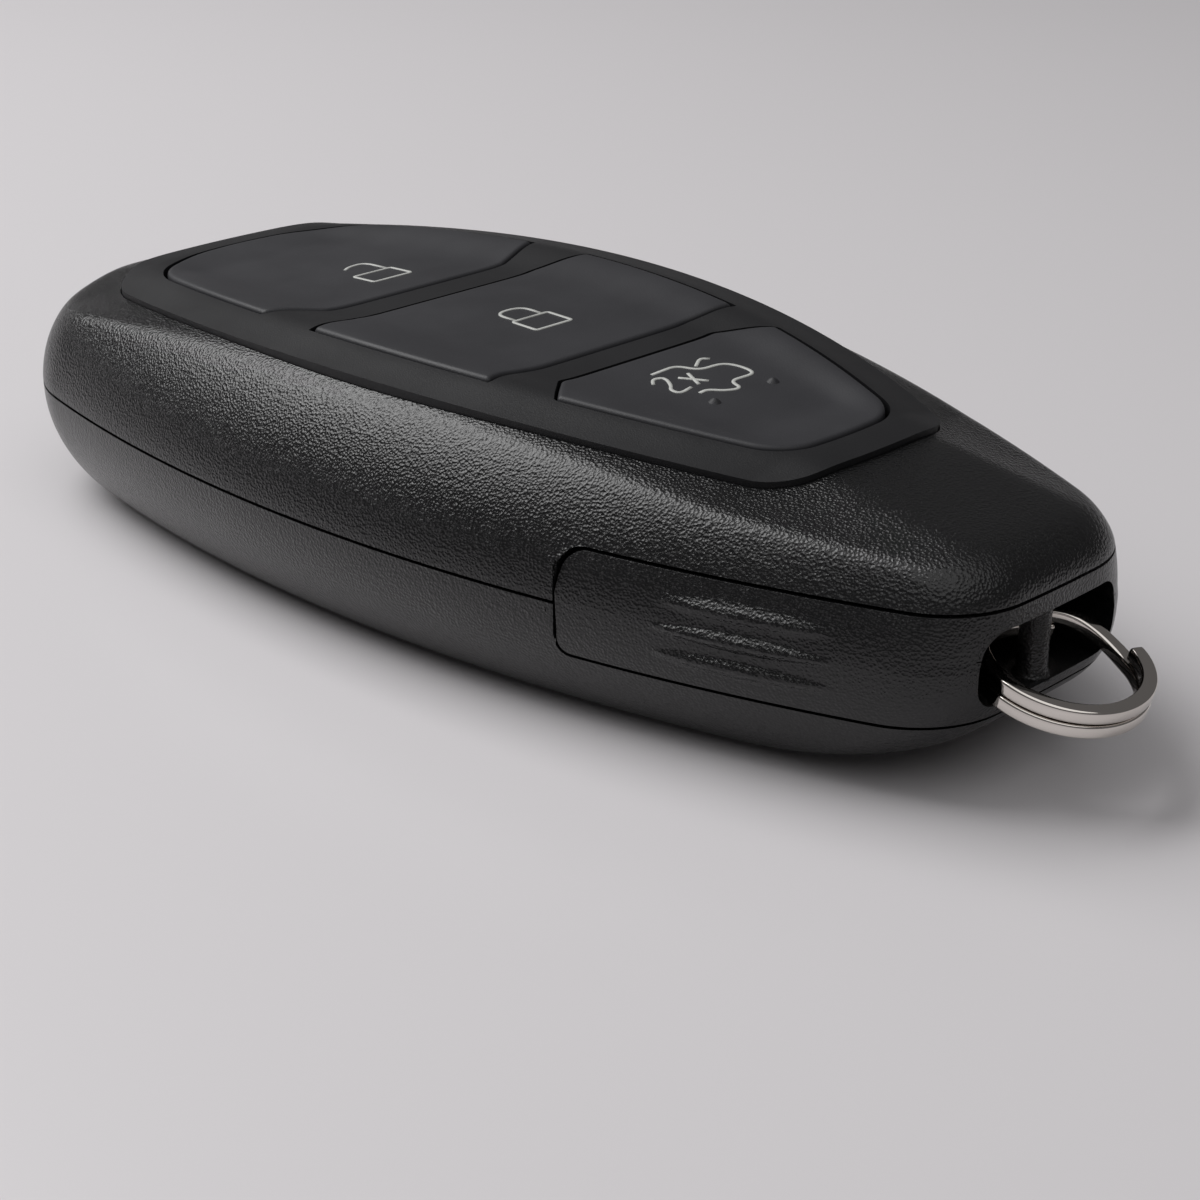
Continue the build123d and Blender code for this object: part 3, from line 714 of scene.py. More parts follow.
def cut_shell(name: str, rows: list[np.ndarray], notch_row: int, flip: bool) -> bpy.types.Object:
    """Open skin of one shell from its rows of half columns, without the end cover's place.

    Args:
        name: Name of the piece.
        rows: Rows of points from the seam on, each of shape (columns, 3).
        notch_row: Number of the row that follows the end cover's place.
        flip: Whether the faces are wound the other way round.

    Returns:
        The new piece.
    """
    grid = mirror_columns(np.stack(rows))
    count_rows, count_cols = grid.shape[:2]
    points = grid.reshape(-1, 3)
    faces = grid_faces(count_rows, count_cols, closed=True)
    centre = points[faces].mean(axis=1)
    row = np.arange(len(faces)) // count_cols
    cut = (row < notch_row) & (centre[:, 0] > NOTCH.start - NOTCH.gap)
    kept = faces[~cut]
    return make_piece(name, points, [kept[:, ::-1] if flip else kept])


# Columns on each stretch of the half outline but the side, whose columns follow a step.
STRETCH_COLUMNS = {Part.BACK_END: 14, Part.BACK_CORNER: 34, Part.RING_CORNER: 26, Part.RING_END: 10}


@dataclass(frozen=True)
class Columns:
    """Places of the columns of a shell along half of the case's outline."""

    part: np.ndarray
    share: np.ndarray

    @staticmethod
    def of_case(marks: tuple[float, ...], step: float = 0.55) -> "Columns":
        """Columns all along the half outline, with one at each marked x of the side.

        Args:
            marks: Places in x that need a column.
            step: Distance of the other columns along the side.

        Returns:
            The columns in order, from the middle of the back end to that of the ring end.
        """
        limits = CASE.side_limits()
        even = np.linspace(*limits, round((limits[1] - limits[0]) / step))
        keep = np.ones(even.shape, bool)
        for mark in marks:
            keep &= np.abs(even - mark) > step / 4
        xs = np.sort(np.concatenate([even[keep], np.array(marks)]))[1:-1]
        shares = {part: np.arange(count) / count for part, count in STRETCH_COLUMNS.items()}
        shares[Part.SIDE] = np.append(0.0, np.clip(CASE.side_share(xs), 0.0, 1.0))
        shares[Part.RING_END] = np.append(shares[Part.RING_END], 1.0)
        parts = [np.full(shares[part].shape, part.value) for part in Part]
        return Columns(np.concatenate(parts), np.concatenate([shares[part] for part in Part]))


@dataclass(frozen=True)
class ArmNotch:
    """Side view of the end cover's place: where it starts, its two levels and rounded start."""

    start: float = 18.0
    low: float = 4.92
    high: float = 11.17
    corner: float = 1.0
    gap: float = 0.2

    def reach(self, x: np.ndarray, grow: float) -> tuple[np.ndarray, np.ndarray]:
        """Limits of the place, whose start is rounded by a quarter circle above and below.

        Args:
            x: Places along the case.
            grow: How much the place is grown all round.

        Returns:
            Its lower and upper limit at x.
        """
        start = self.start - grow
        corner = self.corner + grow
        over = np.clip((start + corner - x) / corner, 0.0, 1.0)
        lost = corner * (1.0 - np.sqrt(1.0 - over**2))
        return self.low - grow + lost, self.high + grow - lost

    def marks(self, grow: float) -> tuple[float, ...]:
        """Places of columns that draw the rounded start well, when it is grown by an amount."""
        return tuple(self.start - grow + (self.corner + grow) * share for share in (0.0, *ROUND_SHARES))


NOTCH = ArmNotch()


@dataclass
class UpperShell:
    """Upper half of the case: its side, crowned shoulder, recess for the panel and ledge."""

    wall: float = 1.0
    cover: float = 0.4
    edge: float = 0.12
    ledge: float = 1.3
    turn: float = 12.0
    floor_gap: float = 0.02
    least_step: float = 0.2
    top_rows: int = 44
    crowding: float = 1.35

    def floor(self, x: np.ndarray) -> np.ndarray:
        """Height of the recess's floor at x: a level below the crown."""
        return FORM.crown(x) - FORM.panel_depth - self.floor_gap

    def build(self) -> bpy.types.Object:
        """Rows run from the seam up the side, over the shoulder, in to the recess and its ledge.

        Above the turn each column runs straight in plan to the nearest place on the recess's rim.

        Returns:
            The upper shell with its wall and rounded edges.
        """
        cols = Columns.of_case(NOTCH.marks(NOTCH.gap))
        base = FORM.skin(cols.part, cols.share, np.full(cols.part.shape, FORM.seam))
        x0 = base[:, 0]
        seam = np.full(x0.shape, FORM.seam + FORM.seam_gap / 2)
        _, notch = NOTCH.reach(x0, NOTCH.gap)
        rows = []
        for t in np.linspace(0.0, 1.0, 9):
            rows.append(FORM.skin(cols.part, cols.share, seam + (notch - seam) * t))
        notch_row = len(rows) - 1
        turn = np.full(x0.shape, self.turn)
        for t in np.linspace(0.0, 1.0, 6)[1:]:
            rows.append(FORM.skin(cols.part, cols.share, notch + (turn - notch) * t))
        start = rows[-1][:, :2]
        middle = np.abs(start[:, 1]) < ON_MIDDLE
        _, rim = nearest_on_loops(start, [PANEL.loop(-FORM.panel_gap, -FORM.panel_gap)])
        rim[middle, 1] = 0.0
        _, ledge = nearest_on_loops(rim, [PANEL.loop(self.ledge, self.ledge)])
        ledge[middle, 1] = 0.0
        rim_x, rim_y = rim.T
        t = np.linspace(0.0, 1.0, self.top_rows)[1:] ** self.crowding
        plan = start[None] + (rim - start)[None] * t[:, None, None]
        height = FORM.upper_height(plan[..., 0], plan[..., 1])
        rows.extend(np.concatenate([plan, height[..., None]], axis=-1))
        edge = height[-1]
        floor = np.minimum(self.floor(rim_x), edge - self.least_step)
        for t in (0.5, 1.0):
            rows.append(np.column_stack([rim_x, rim_y, edge + (floor - edge) * t]))
        for t in (0.5, 1.0):
            x, y = (rim + (ledge - rim) * t).T
            rows.append(np.column_stack([x, y, self.floor(x)]))
        piece = cut_shell("upper_shell", rows, notch_row, True)
        inner = thicken(piece, self.wall)
        hold_under(piece, inner, self.cover)
        hold_out(piece, True)
        round_edges(piece, self.edge)
        return piece


@dataclass
class LowerShell:
    """Lower half of the case: its side, belly and the flat that it lies on."""

    wall: float = 1.2
    edge: float = 0.12
    spine_back: float = -22.0
    spine_front: float = 12.0
    crowding: float = 1.6

    def build(self) -> bpy.types.Object:
        """Rows run from the seam down the side and belly, then across the flat to the middle.

        Returns:
            The lower shell with its wall and rounded edges.
        """
        cols = Columns.of_case(NOTCH.marks(NOTCH.gap))
        base = FORM.skin(cols.part, cols.share, np.full(cols.part.shape, FORM.seam))
        x0 = base[:, 0]
        seam = np.full(x0.shape, FORM.seam - FORM.seam_gap / 2)
        notch, _ = NOTCH.reach(x0, NOTCH.gap)
        rows = []
        for t in np.linspace(0.0, 1.0, 8):
            rows.append(FORM.skin(cols.part, cols.share, seam + (notch - seam) * t))
        notch_row = len(rows) - 1
        for t in np.linspace(0.0, 1.0, 24)[1:]:
            rows.append(FORM.skin(cols.part, cols.share, notch * (1 - t) ** self.crowding))
        flat = rows[-1]
        middle = flat * [1, 0, 1]
        middle[:, 0] = np.clip(flat[:, 0], self.spine_back, self.spine_front)
        for t in np.linspace(0.0, 1.0, 14)[1:]:
            rows.append(flat + (middle - flat) * t)
        piece = cut_shell("lower_shell", rows, notch_row, False)
        thicken(piece, self.wall)
        hold_out(piece, False)
        round_edges(piece, self.edge)
        return piece


@dataclass
class EndCover:
    """U-shaped end cover: two gripped arms joined by the ring end with its window."""

    arm: float = 1.9
    inner_x: float = 33.5
    edge: float = 0.12
    window_half: float = 6.0
    window_low: float = 5.7
    window_high: float = 10.1
    window_corner: float = 1.4
    recess_x: float = 34.7
    pillar_x: float = 38.6
    pillar_radius: float = 0.85
    grip_start: float = 23.8
    grip_end: float = 33.5
    grip_middle: float = 8.1
    grip_pitch: float = 1.55
    grip_height: float = 1.15
    grip_depth: float = 0.32
    grip_tip_share: float = 0.35
    corner_half: float = 9.4
    fine_from: float = 1.25
    fine_step: float = 0.25
    fine_stop: float = 0.1
    end_columns: int = 14
    search_steps: int = 400
    row_counts: tuple[int, int, int] = (16, 24, 12)
    foot: float = 0.1
    flare: float = 0.35
    flare_length: float = 0.25
    pillar_rows: int = 25
    pillar_cols: int = 32

    def columns(self) -> Columns:
        """Columns from the start of an arm to the middle of the ring end."""
        _, side_end = CASE.side_limits()
        even = np.arange(NOTCH.start + self.fine_from, side_end - self.fine_stop, self.fine_step)
        xs = np.append(NOTCH.marks(0.0), even)
        ys = np.append(
            np.linspace(self.corner_half, self.window_half, self.end_columns),
            self.window_half - self.window_corner * np.array(ROUND_SHARES),
        )
        dense = np.linspace(0.0, 1.0, self.search_steps)
        _, corner_y = CASE.points(np.full(dense.shape, Part.RING_CORNER.value), dense)
        shares = {
            Part.SIDE: CASE.side_share(xs),
            Part.RING_CORNER: np.interp(-ys, -corner_y, dense),
            Part.RING_END: np.linspace(0.0, 1.0, self.end_columns),
        }
        parts = [np.full(values.shape, part.value) for part, values in shares.items()]
        return Columns(np.concatenate(parts), np.concatenate(list(shares.values())))

    def grip(self, x: np.ndarray, z: np.ndarray) -> np.ndarray:
        """Height of the leaf-shaped grip ribs at a place on an arm.

        Along the arm a leaf swells as 4a(1 - a), a being the share of its length. Across a rib the
        height is (1 - 4b squared) to the power 1.5, b being the share of the rib's width there.

        Args:
            x: Places along the case.
            z: Heights above the table.

        Returns:
            Heights above the arm's plain face.
        """
        along = (x - self.grip_start) / (self.grip_end - self.grip_start)
        leaf = np.clip(4.0 * along * (1.0 - along), 0.0, 1.0)
        width = self.grip_height * (self.grip_tip_share + (1.0 - self.grip_tip_share) * leaf)
        total = np.zeros(np.broadcast(x, z).shape)
        for number in (-1, 0, 1):
            across = (z - self.grip_middle - number * self.grip_pitch) / width
            total += self.grip_depth * leaf**0.7 * np.clip(1.0 - 4.0 * across**2, 0.0, 1.0) ** 1.5
        return total

    def levels(self, x: np.ndarray, y: np.ndarray) -> tuple[list[np.ndarray], int, int]:
        """Heights of the outer rows, which follow the window's rounded edge at the ring end.

        Args:
            x: Where each column meets the seam, along the case.
            y: The same across it.

        Returns:
            The heights row by row, and the numbers of the rows at the window's two edges.
        """
        low, high = NOTCH.reach(x, 0.0)
        straight = self.window_half - self.window_corner
        hole = np.clip((np.abs(y) - straight) / self.window_corner, 0.0, 1.0)
        hole = np.where(x > self.inner_x, hole, 1.0)
        lost = self.window_corner * (1.0 - np.sqrt(1.0 - hole**2))
        stops = (low, self.window_low + lost, self.window_high - lost, high)
        rows = [low]
        for start, end, count in zip(stops, stops[1:], self.row_counts):
            rows.extend(start + (end - start) * t for t in np.linspace(0.0, 1.0, count + 1)[1:])
        return rows, self.row_counts[0], self.row_counts[0] + self.row_counts[1]

    def inner_line(self, x: np.ndarray, y: np.ndarray, normal: np.ndarray) -> np.ndarray:
        """Plan of the cover's inner face: the arm's thickness in, then straight across the end.

        Args:
            x: Where each column meets the seam, along the case.
            y: The same across it.
            normal: Directions out of the case there, shape (columns, 2).

        Returns:
            Plan points, one for each column.
        """
        inner_x = x - normal[:, 0] * self.arm
        inner_y = y - normal[:, 1] * self.arm
        in_arm = inner_x < self.inner_x
        tail = np.cumsum(~in_arm)
        across = inner_y[in_arm][-1] * (1.0 - tail / tail[-1])
        return np.column_stack([np.where(in_arm, inner_x, self.inner_x), np.where(in_arm, inner_y, across)])

    def build(self) -> bpy.types.Object:
        """A loop of rows round the U's cross-section, with the window's recess let into it.

        Returns:
            The end cover with rounded edges.
        """
        cols = self.columns()
        seam = FORM.skin(cols.part, cols.share, np.full(cols.part.shape, FORM.seam))
        x0, y0 = seam[:, 0], seam[:, 1]
        heights, first, last = self.levels(x0, y0)
        normal = np.stack([x0 - CASE.widest, y0 - (CASE.half - CASE.side_radius)], axis=1)
        normal /= np.linalg.norm(normal, axis=1, keepdims=True)
        outer = [FORM.skin(cols.part, cols.share, height) for height in heights]
        for row in outer:
            row[:, :2] += normal * self.grip(row[:, 0], row[:, 2])[:, None]
        inner = self.inner_line(x0, y0, normal)
        top_in = np.column_stack([inner, heights[-1]])
        low_in = np.column_stack([inner, heights[0]])
        rows = list(outer)
        rows.extend(outer[-1] + (top_in - outer[-1]) * t for t in (0.33, 0.67, 1.0))
        rows.extend(top_in + (low_in - top_in) * t for t in np.linspace(0.0, 1.0, 9)[1:])
        rows.extend(low_in + (outer[0] - low_in) * t for t in (0.33, 0.67))
        grid = np.stack(rows)
        grid = np.concatenate([grid, grid[:, -2::-1] * [1, -1, 1]], axis=1)
        count_rows, count_cols = grid.shape[:2]
        index = np.arange(count_rows * count_cols).reshape(count_rows, count_cols)
        ring = np.vstack([index, index[:1]])
        corners = (ring[:-1, :-1], ring[:-1, 1:], ring[1:, 1:], ring[1:, :-1])
        quads = np.stack(corners, axis=-1).reshape(-1, 4)
        points = grid.reshape(-1, 3)
        row = np.repeat(np.arange(count_rows), count_cols - 1)
        centre = points[quads].mean(axis=1)
        in_hole = (row >= first) & (row < last)
        in_hole &= (np.abs(centre[:, 1]) < self.window_half) & (centre[:, 0] > self.inner_x)
        fans = [
            np.stack([np.full(count_rows - 2, start[0]), start[1:-1], start[2:]], axis=1)
            for start in (index[:, 0], index[:, -1])
        ]
        points, recess = self._recess(points, index, first, last)
        piece = make_piece("end_cover_shell", points, [quads[~in_hole], *fans, *recess])
        round_edges(piece, self.edge, 50.0)
        return piece

    def _recess(
        self, points: np.ndarray, index: np.ndarray, first: int, last: int
    ) -> tuple[np.ndarray, list[np.ndarray]]:
        """Straight wall from the window's edge to the back of the recess, and that back.

        Args:
            points: The cover's points.
            index: Their numbers, row by row.
            first: Row at the window's lower edge.
            last: Row at its upper edge.

        Returns:
            The points with those of the recess added, and the recess's faces.
        """
        x, y, _ = points[index[first]].T
        inside = np.nonzero((np.abs(y) <= self.window_half + ON_MIDDLE) & (x > self.inner_x))[0]
        a, b = inside[0], inside[-1]
        loop = np.concatenate([
            index[first, a : b + 1],
            index[first + 1 : last, b],
            index[last, a : b + 1][::-1],
            index[first + 1 : last, a][::-1],
        ])
        rim = points[loop]
        deep = rim.copy()
        deep[:, 0] = self.recess_x
        start = len(points)
        centre = deep.mean(axis=0)
        points = np.vstack([points, deep, centre[None]])
        after = np.arange(len(loop)) + start
        wall = np.stack([loop, after, np.roll(after, -1), np.roll(loop, -1)], axis=1)
        hub = np.full(len(loop), start + len(loop))
        floor = np.stack([after, hub, np.roll(after, -1)], axis=1)
        return points, [wall, floor]

    def pillar(self) -> bpy.types.Object:
        """Upright pillar across the window with a flared foot and head.

        Its radius grows towards both ends by the flare times e to the minus distance over length.

        Returns:
            The pillar.
        """
        low, high = self.window_low - self.foot, self.window_high + self.foot
        z = low + (high - low) * np.linspace(0.0, 1.0, self.pillar_rows)
        spread = np.exp((low - z) / self.flare_length) + np.exp((z - high) / self.flare_length)
        radius = (self.pillar_radius + self.flare * spread)[:, None]
        angle = np.linspace(0.0, 2 * math.pi, self.pillar_cols + 1)[None, :-1]
        x = self.pillar_x + radius * np.cos(angle)
        y = radius * np.sin(angle)
        grid = np.stack([x, y, np.broadcast_to(z[:, None], x.shape)], axis=-1)
        points = np.vstack([grid.reshape(-1, 3), [[self.pillar_x, 0, z[0]], [self.pillar_x, 0, z[-1]]]])
        fans = end_fans(self.pillar_rows, self.pillar_cols)
        return make_piece("ring_pillar", points, [grid_faces(*x.shape, closed=True), *fans])


# Flat pieces cut out by outlines


def chunks(count: int, size: int = 4000) -> list[np.ndarray]:
    """Numbers of a long row of points, split so that a table for each part stays small."""
    return np.array_split(np.arange(count), max(1, count // size))


def nearest_on_loops(points: np.ndarray, loops: list[np.ndarray]) -> tuple[np.ndarray, np.ndarray]:
    """Nearest point on a set of closed loops, and its distance.

    Args:
        points: Array of shape (points, 2).
        loops: Closed loops as arrays of shape (n, 2).

    Returns:
        The distances and the nearest points.
    """
    best = np.full(len(points), np.inf)
    place = np.zeros((len(points), 2))
    for loop in loops:
        step = np.roll(loop, -1, axis=0) - loop
        length = np.maximum((step**2).sum(axis=1), 1e-12)
        for chunk in chunks(len(points)):
            rel = points[chunk][:, None] - loop[None]
            t = np.clip((rel * step[None]).sum(-1) / length[None], 0.0, 1.0)
            foot = loop[None] + step[None] * t[..., None]
            far = np.linalg.norm(points[chunk][:, None] - foot, axis=-1)
            pick = far.argmin(axis=1)
            value = far[np.arange(len(chunk)), pick]
            better = value < best[chunk]
            best[chunk] = np.where(better, value, best[chunk])
            place[chunk[better]] = foot[np.arange(len(chunk)), pick][better]
    return best, place


def inside_loops(points: np.ndarray, loops: list[np.ndarray]) -> np.ndarray:
    """Whether each point is inside an odd number of closed loops, by counting crossings.

    Args:
        points: Array of shape (points, 2).
        loops: Closed loops as arrays of shape (n, 2).

    Returns:
        True where a ray towards larger x crosses the loops an odd number of times.
    """
    count = np.zeros(len(points), int)
    for loop in loops:
        a, b = loop, np.roll(loop, -1, axis=0)
        for chunk in chunks(len(points)):
            x, y = points[chunk].T[..., None]
            spans = (a[None, :, 1] > y) != (b[None, :, 1] > y)
            rise = np.where(b[:, 1] == a[:, 1], 1.0, b[:, 1] - a[:, 1])
            cross = a[None, :, 0] + (y - a[None, :, 1]) * (b[:, 0] - a[:, 0])[None] / rise[None]
            count[chunk] += (spans & (x < cross)).sum(axis=1)
    return count % 2 == 1


def trimmed_sheet(loops: list[np.ndarray], step: float) -> tuple[np.ndarray, list[np.ndarray]]:
    """Square net over the region between loops, its edge points drawn onto the loops.

    Args:
        loops: Outer loop and any holes, in plan.
        step: Side of the net's squares.

    Returns:
        Plan points and arrays of quads and triangles.
    """
    low = np.min([loop.min(axis=0) for loop in loops], axis=0) - step
    high = np.max([loop.max(axis=0) for loop in loops], axis=0) + step
    xs = np.arange(low[0], high[0] + step, step)
    half = math.ceil(max(-low[1], high[1]) / step)
    ys = np.arange(-half, half + 1) * step
    gx, gy = np.meshgrid(xs, ys, indexing="ij")
    plan = np.stack([gx.ravel(), gy.ravel()], axis=1)
    distance, place = nearest_on_loops(plan, loops)
    inside = inside_loops(plan, loops)
    near = distance < step * 0.5001
    plan = np.where(near[:, None], place, plan)
    usable = inside | near
    index = np.arange(len(plan)).reshape(gx.shape)
    quads = np.stack([index[:-1, :-1], index[1:, :-1], index[1:, 1:], index[:-1, 1:]], axis=-1).reshape(-1, 4)
    good = usable[quads]
    full = quads[good.all(axis=1)]
    full = full[inside_loops(plan[full].mean(axis=1), loops)]
    three = quads[good.sum(axis=1) == 3]
    missing = (~usable[three]).argmax(axis=1)
    order = (missing[:, None] + np.arange(1, 4)[None]) % 4
    triangles = np.take_along_axis(three, order, axis=1)
    if len(triangles):
        triangles = triangles[inside_loops(plan[triangles].mean(axis=1), loops)]
    used = np.unique(np.concatenate([full.ravel(), triangles.ravel()]))
    renumber = np.full(len(plan), -1)
    renumber[used] = np.arange(len(used))
    return plan[used], [renumber[full], renumber[triangles]]


def rounded_loop(points: np.ndarray, radius: np.ndarray, steps: int = 7) -> np.ndarray:
    """Closed loop through straight corners, each rounded by a parabola as wide as its arc would be.

    Args:
        points: Corners in order, shape (n, 2).
        radius: Radius at each corner, nought where the corner stays sharp.
        steps: Points on each rounded corner.

    Returns:
        The rounded loop.
    """
    before = np.roll(points, 1, axis=0) - points
    after = np.roll(points, -1, axis=0) - points
    len_b = np.linalg.norm(before, axis=1, keepdims=True)
    len_a = np.linalg.norm(after, axis=1, keepdims=True)
    ub, ua = before / len_b, after / len_a
    cosine = np.clip((ub * ua).sum(axis=1), -0.9999, 0.9999)
    half = np.arccos(cosine) / 2
    cut = np.minimum(radius / np.tan(half), 0.49 * np.minimum(len_a[:, 0], len_b[:, 0]))
    start = points + ub * cut[:, None]
    end = points + ua * cut[:, None]
    loop = bend(start, points, end, steps)
    moved = np.linalg.norm(loop - np.roll(loop, 1, axis=0), axis=1)
    return loop[moved > 1e-6]


class Key(Enum):
    """The three push buttons: the places of their back and front edges, floor and corner."""

    UNLOCK = ("unlock", None, (-12.8, -14.3))
    LOCK = ("lock", (-9.7, -8.7), (5.6, 6.3))
    BOOT = ("boot", (8.35, 11.1), None)


@dataclass
class Keypad:
    """Button panel and its three dished buttons."""

    corner: float = 0.8
    gap: float = 0.26
    proud: float = 0.1
    step: float = 0.25
    panel_wall: float = 1.25
    cap_wall: float = 1.5
    edge: float = 0.12
    kink_share: float = 0.65
    cap_round: float = 0.3
    cap_points: int = 420
    cap_rows: int = 34
    sharp_turn: float = 0.35
    line_reach: float = 20.0
    search_half: float = 19.0
    search_steps: int = 4000
    pole_rings: tuple[float, ...] = (0.0, 0.03, 0.1, 0.2, 0.32, 0.5)

    def field(self, grow: float) -> np.ndarray:
        """Outline of the whole field of buttons grown by an amount."""
        return PANEL.loop(FORM.frame_width - grow, FORM.frame_end_width - grow)

    def kinked(self, edge: tuple[float, float], grow: float) -> np.ndarray:
        """Line of a button's edge: straight across the dish's floor, slanted on its flanks.

        Args:
            edge: The edge's x at the middle and at the field's side.
            grow: How much the line is moved along the case.

        Returns:
            Four points from low to high y.
        """
        middle, corner = edge
        floor = float(FORM.brink(np.array(middle))) * self.kink_share
        brink = float(FORM.brink(np.array(corner)))
        slope = (corner - middle) / (brink - floor)
        reach = self.line_reach
        far = middle + slope * (reach - floor)
        return np.array([[far, -reach], [middle, -floor], [middle, floor], [far, reach]]) + [grow, 0.0]

    def outline(self, key: Key, grow: float) -> np.ndarray:
        """Closed outline of one button: the field cut by the button's kinked edges.

        Args:
            key: Which button.
            grow: How much the outline is grown.

        Returns:
            The outline with its sharp corners rounded.
        """
        _, back, front = key.value
        loop = self.field(grow)
        keep = np.ones(len(loop), bool)
        lines = {}
        for edge, sign in ((back, -1), (front, 1)):
            if edge is not None:
                line = self.kinked(edge, sign * grow)
                keep &= (loop[:, 0] - np.interp(loop[:, 1], line[:, 1], line[:, 0])) * sign < 0
                lines[sign] = self._crossing(line, loop)
        upper = loop[keep & (loop[:, 1] > 0)]
        upper = upper[np.argsort(upper[:, 0])]
        tip = loop[keep & (loop[:, 1] == 0)] if key is Key.BOOT else loop[:0]
        front_edge = lines[1][::-1] if 1 in lines else tip
        corners = np.vstack([upper, front_edge, upper[::-1] * [1, -1], lines.get(-1, loop[:0])])
        length = np.linalg.norm(corners - np.roll(corners, 1, axis=0), axis=1)
        corners = corners[length > 1e-4]
        return rounded_loop(corners, np.where(self._turn(corners) > self.sharp_turn, self.corner, 0.0))

    def _turn(self, loop: np.ndarray) -> np.ndarray:
        """How sharply a loop turns at each of its points.

        Args:
            loop: Closed loop, shape (n, 2).

        Returns:
            Angles in radians, without sign.
        """
        a = loop - np.roll(loop, 1, axis=0)
        b = np.roll(loop, -1, axis=0) - loop
        cross = a[:, 0] * b[:, 1] - a[:, 1] * b[:, 0]
        return np.abs(np.arctan2(cross, (a * b).sum(axis=1)))

    def _crossing(self, line: np.ndarray, loop: np.ndarray) -> np.ndarray:
        """A kinked edge between the two places where it crosses the field's outline.

        Args:
            line: The kinked line, from low to high y.
            loop: The field's outline.

        Returns:
            Its two ends with the two kinks between them, from low to high y.
        """
        ys = np.linspace(0.0, self.search_half, self.search_steps)
        xs = np.interp(ys, line[:, 1], line[:, 0])
        upper = loop[loop[:, 1] >= 0]
        upper = upper[np.argsort(upper[:, 0])]
        edge = np.interp(xs, upper[:, 0], upper[:, 1], left=0.0, right=0.0)
        top = np.nonzero(ys <= edge)[0][-1]
        end = np.array([xs[top], ys[top]])
        return np.vstack([end * [1, -1], line[1:3], end])

    def panel(self) -> bpy.types.Object:
        """The bezel round the buttons with its two dividers, its underside straight below its top.

        Returns:
            The bezel with its wall and rounded edges.
        """
        loops = [PANEL.loop(0.0, 0.0)] + [self.outline(key, self.gap) for key in Key]
        plan, faces = trimmed_sheet(loops, self.step)
        z = FORM.panel_top(plan[:, 0], plan[:, 1])
        piece = make_piece("panel_bezel", np.column_stack([plan, z]), faces)
        face_up(piece)
        inner = thicken(piece, self.panel_wall)
        points = read_points(piece)
        points[inner:] = points[:inner] - (0.0, 0.0, self.panel_wall)
        write_points(piece, points)
        round_edges(piece, self.edge, 50.0)
        return piece

    def cap(self, key: Key) -> bpy.types.Object:
        """One dished button cap: rows run in from its edge along rays to a pole, above and below.

        The top follows the panel's dish a little proud, and within the rounding's radius r of the
        outline it drops as a quarter circle does, by r less the root of r squared less (r - d)
        squared, where d is the distance to the outline.

        Args:
            key: Which button.

        Returns:
            The closed cap.
        """
        loop = even_loop(self.outline(key, 0.0), self.cap_points)
        centre = np.array([(loop[:, 0].min() + loop[:, 0].max()) / 2, 0.0])
        reach = np.linalg.norm(loop - centre, axis=1)[None]
        near = np.array(self.pole_rings)[:, None] / reach
        t = np.linspace(0.0, 1.0, self.cap_rows)[1:, None]
        share = 1.0 - np.vstack([near, near[-1] + (1.0 - near[-1]) * t])
        plan = centre + (loop - centre)[None] * share[..., None]
        far, _ = nearest_on_loops(plan.reshape(-1, 2), [loop])
        lean = np.clip(self.cap_round - far.reshape(share.shape), 0.0, None)
        top = FORM.panel_top(plan[..., 0], plan[..., 1]) + self.proud
        over = top - (self.cap_round - np.sqrt(self.cap_round**2 - lean**2))
        under = top - self.cap_wall
        upper = np.concatenate([plan, over[..., None]], axis=-1)[::-1]
        lower = np.concatenate([plan, under[..., None]], axis=-1)
        grid = np.concatenate([upper, lower])
        faces = grid_faces(grid.shape[0], grid.shape[1], closed=True)
        return make_piece(f"{key.value[0]}_cap", grid.reshape(-1, 3), [faces])


def even_loop(loop: np.ndarray, count: int) -> np.ndarray:
    """A closed loop walked in equal steps.

    Args:
        loop: Closed loop, shape (n, 2).
        count: Number of points wanted.

    Returns:
        The same loop as that many evenly spaced points.
    """
    closed = np.vstack([loop, loop[:1]])
    walked = np.concatenate([[0.0], np.cumsum(np.linalg.norm(np.diff(closed, axis=0), axis=1))])
    stops = np.linspace(0.0, walked[-1], count + 1)[:-1]
    return np.column_stack([np.interp(stops, walked, closed[:, 0]), np.interp(stops, walked, closed[:, 1])])


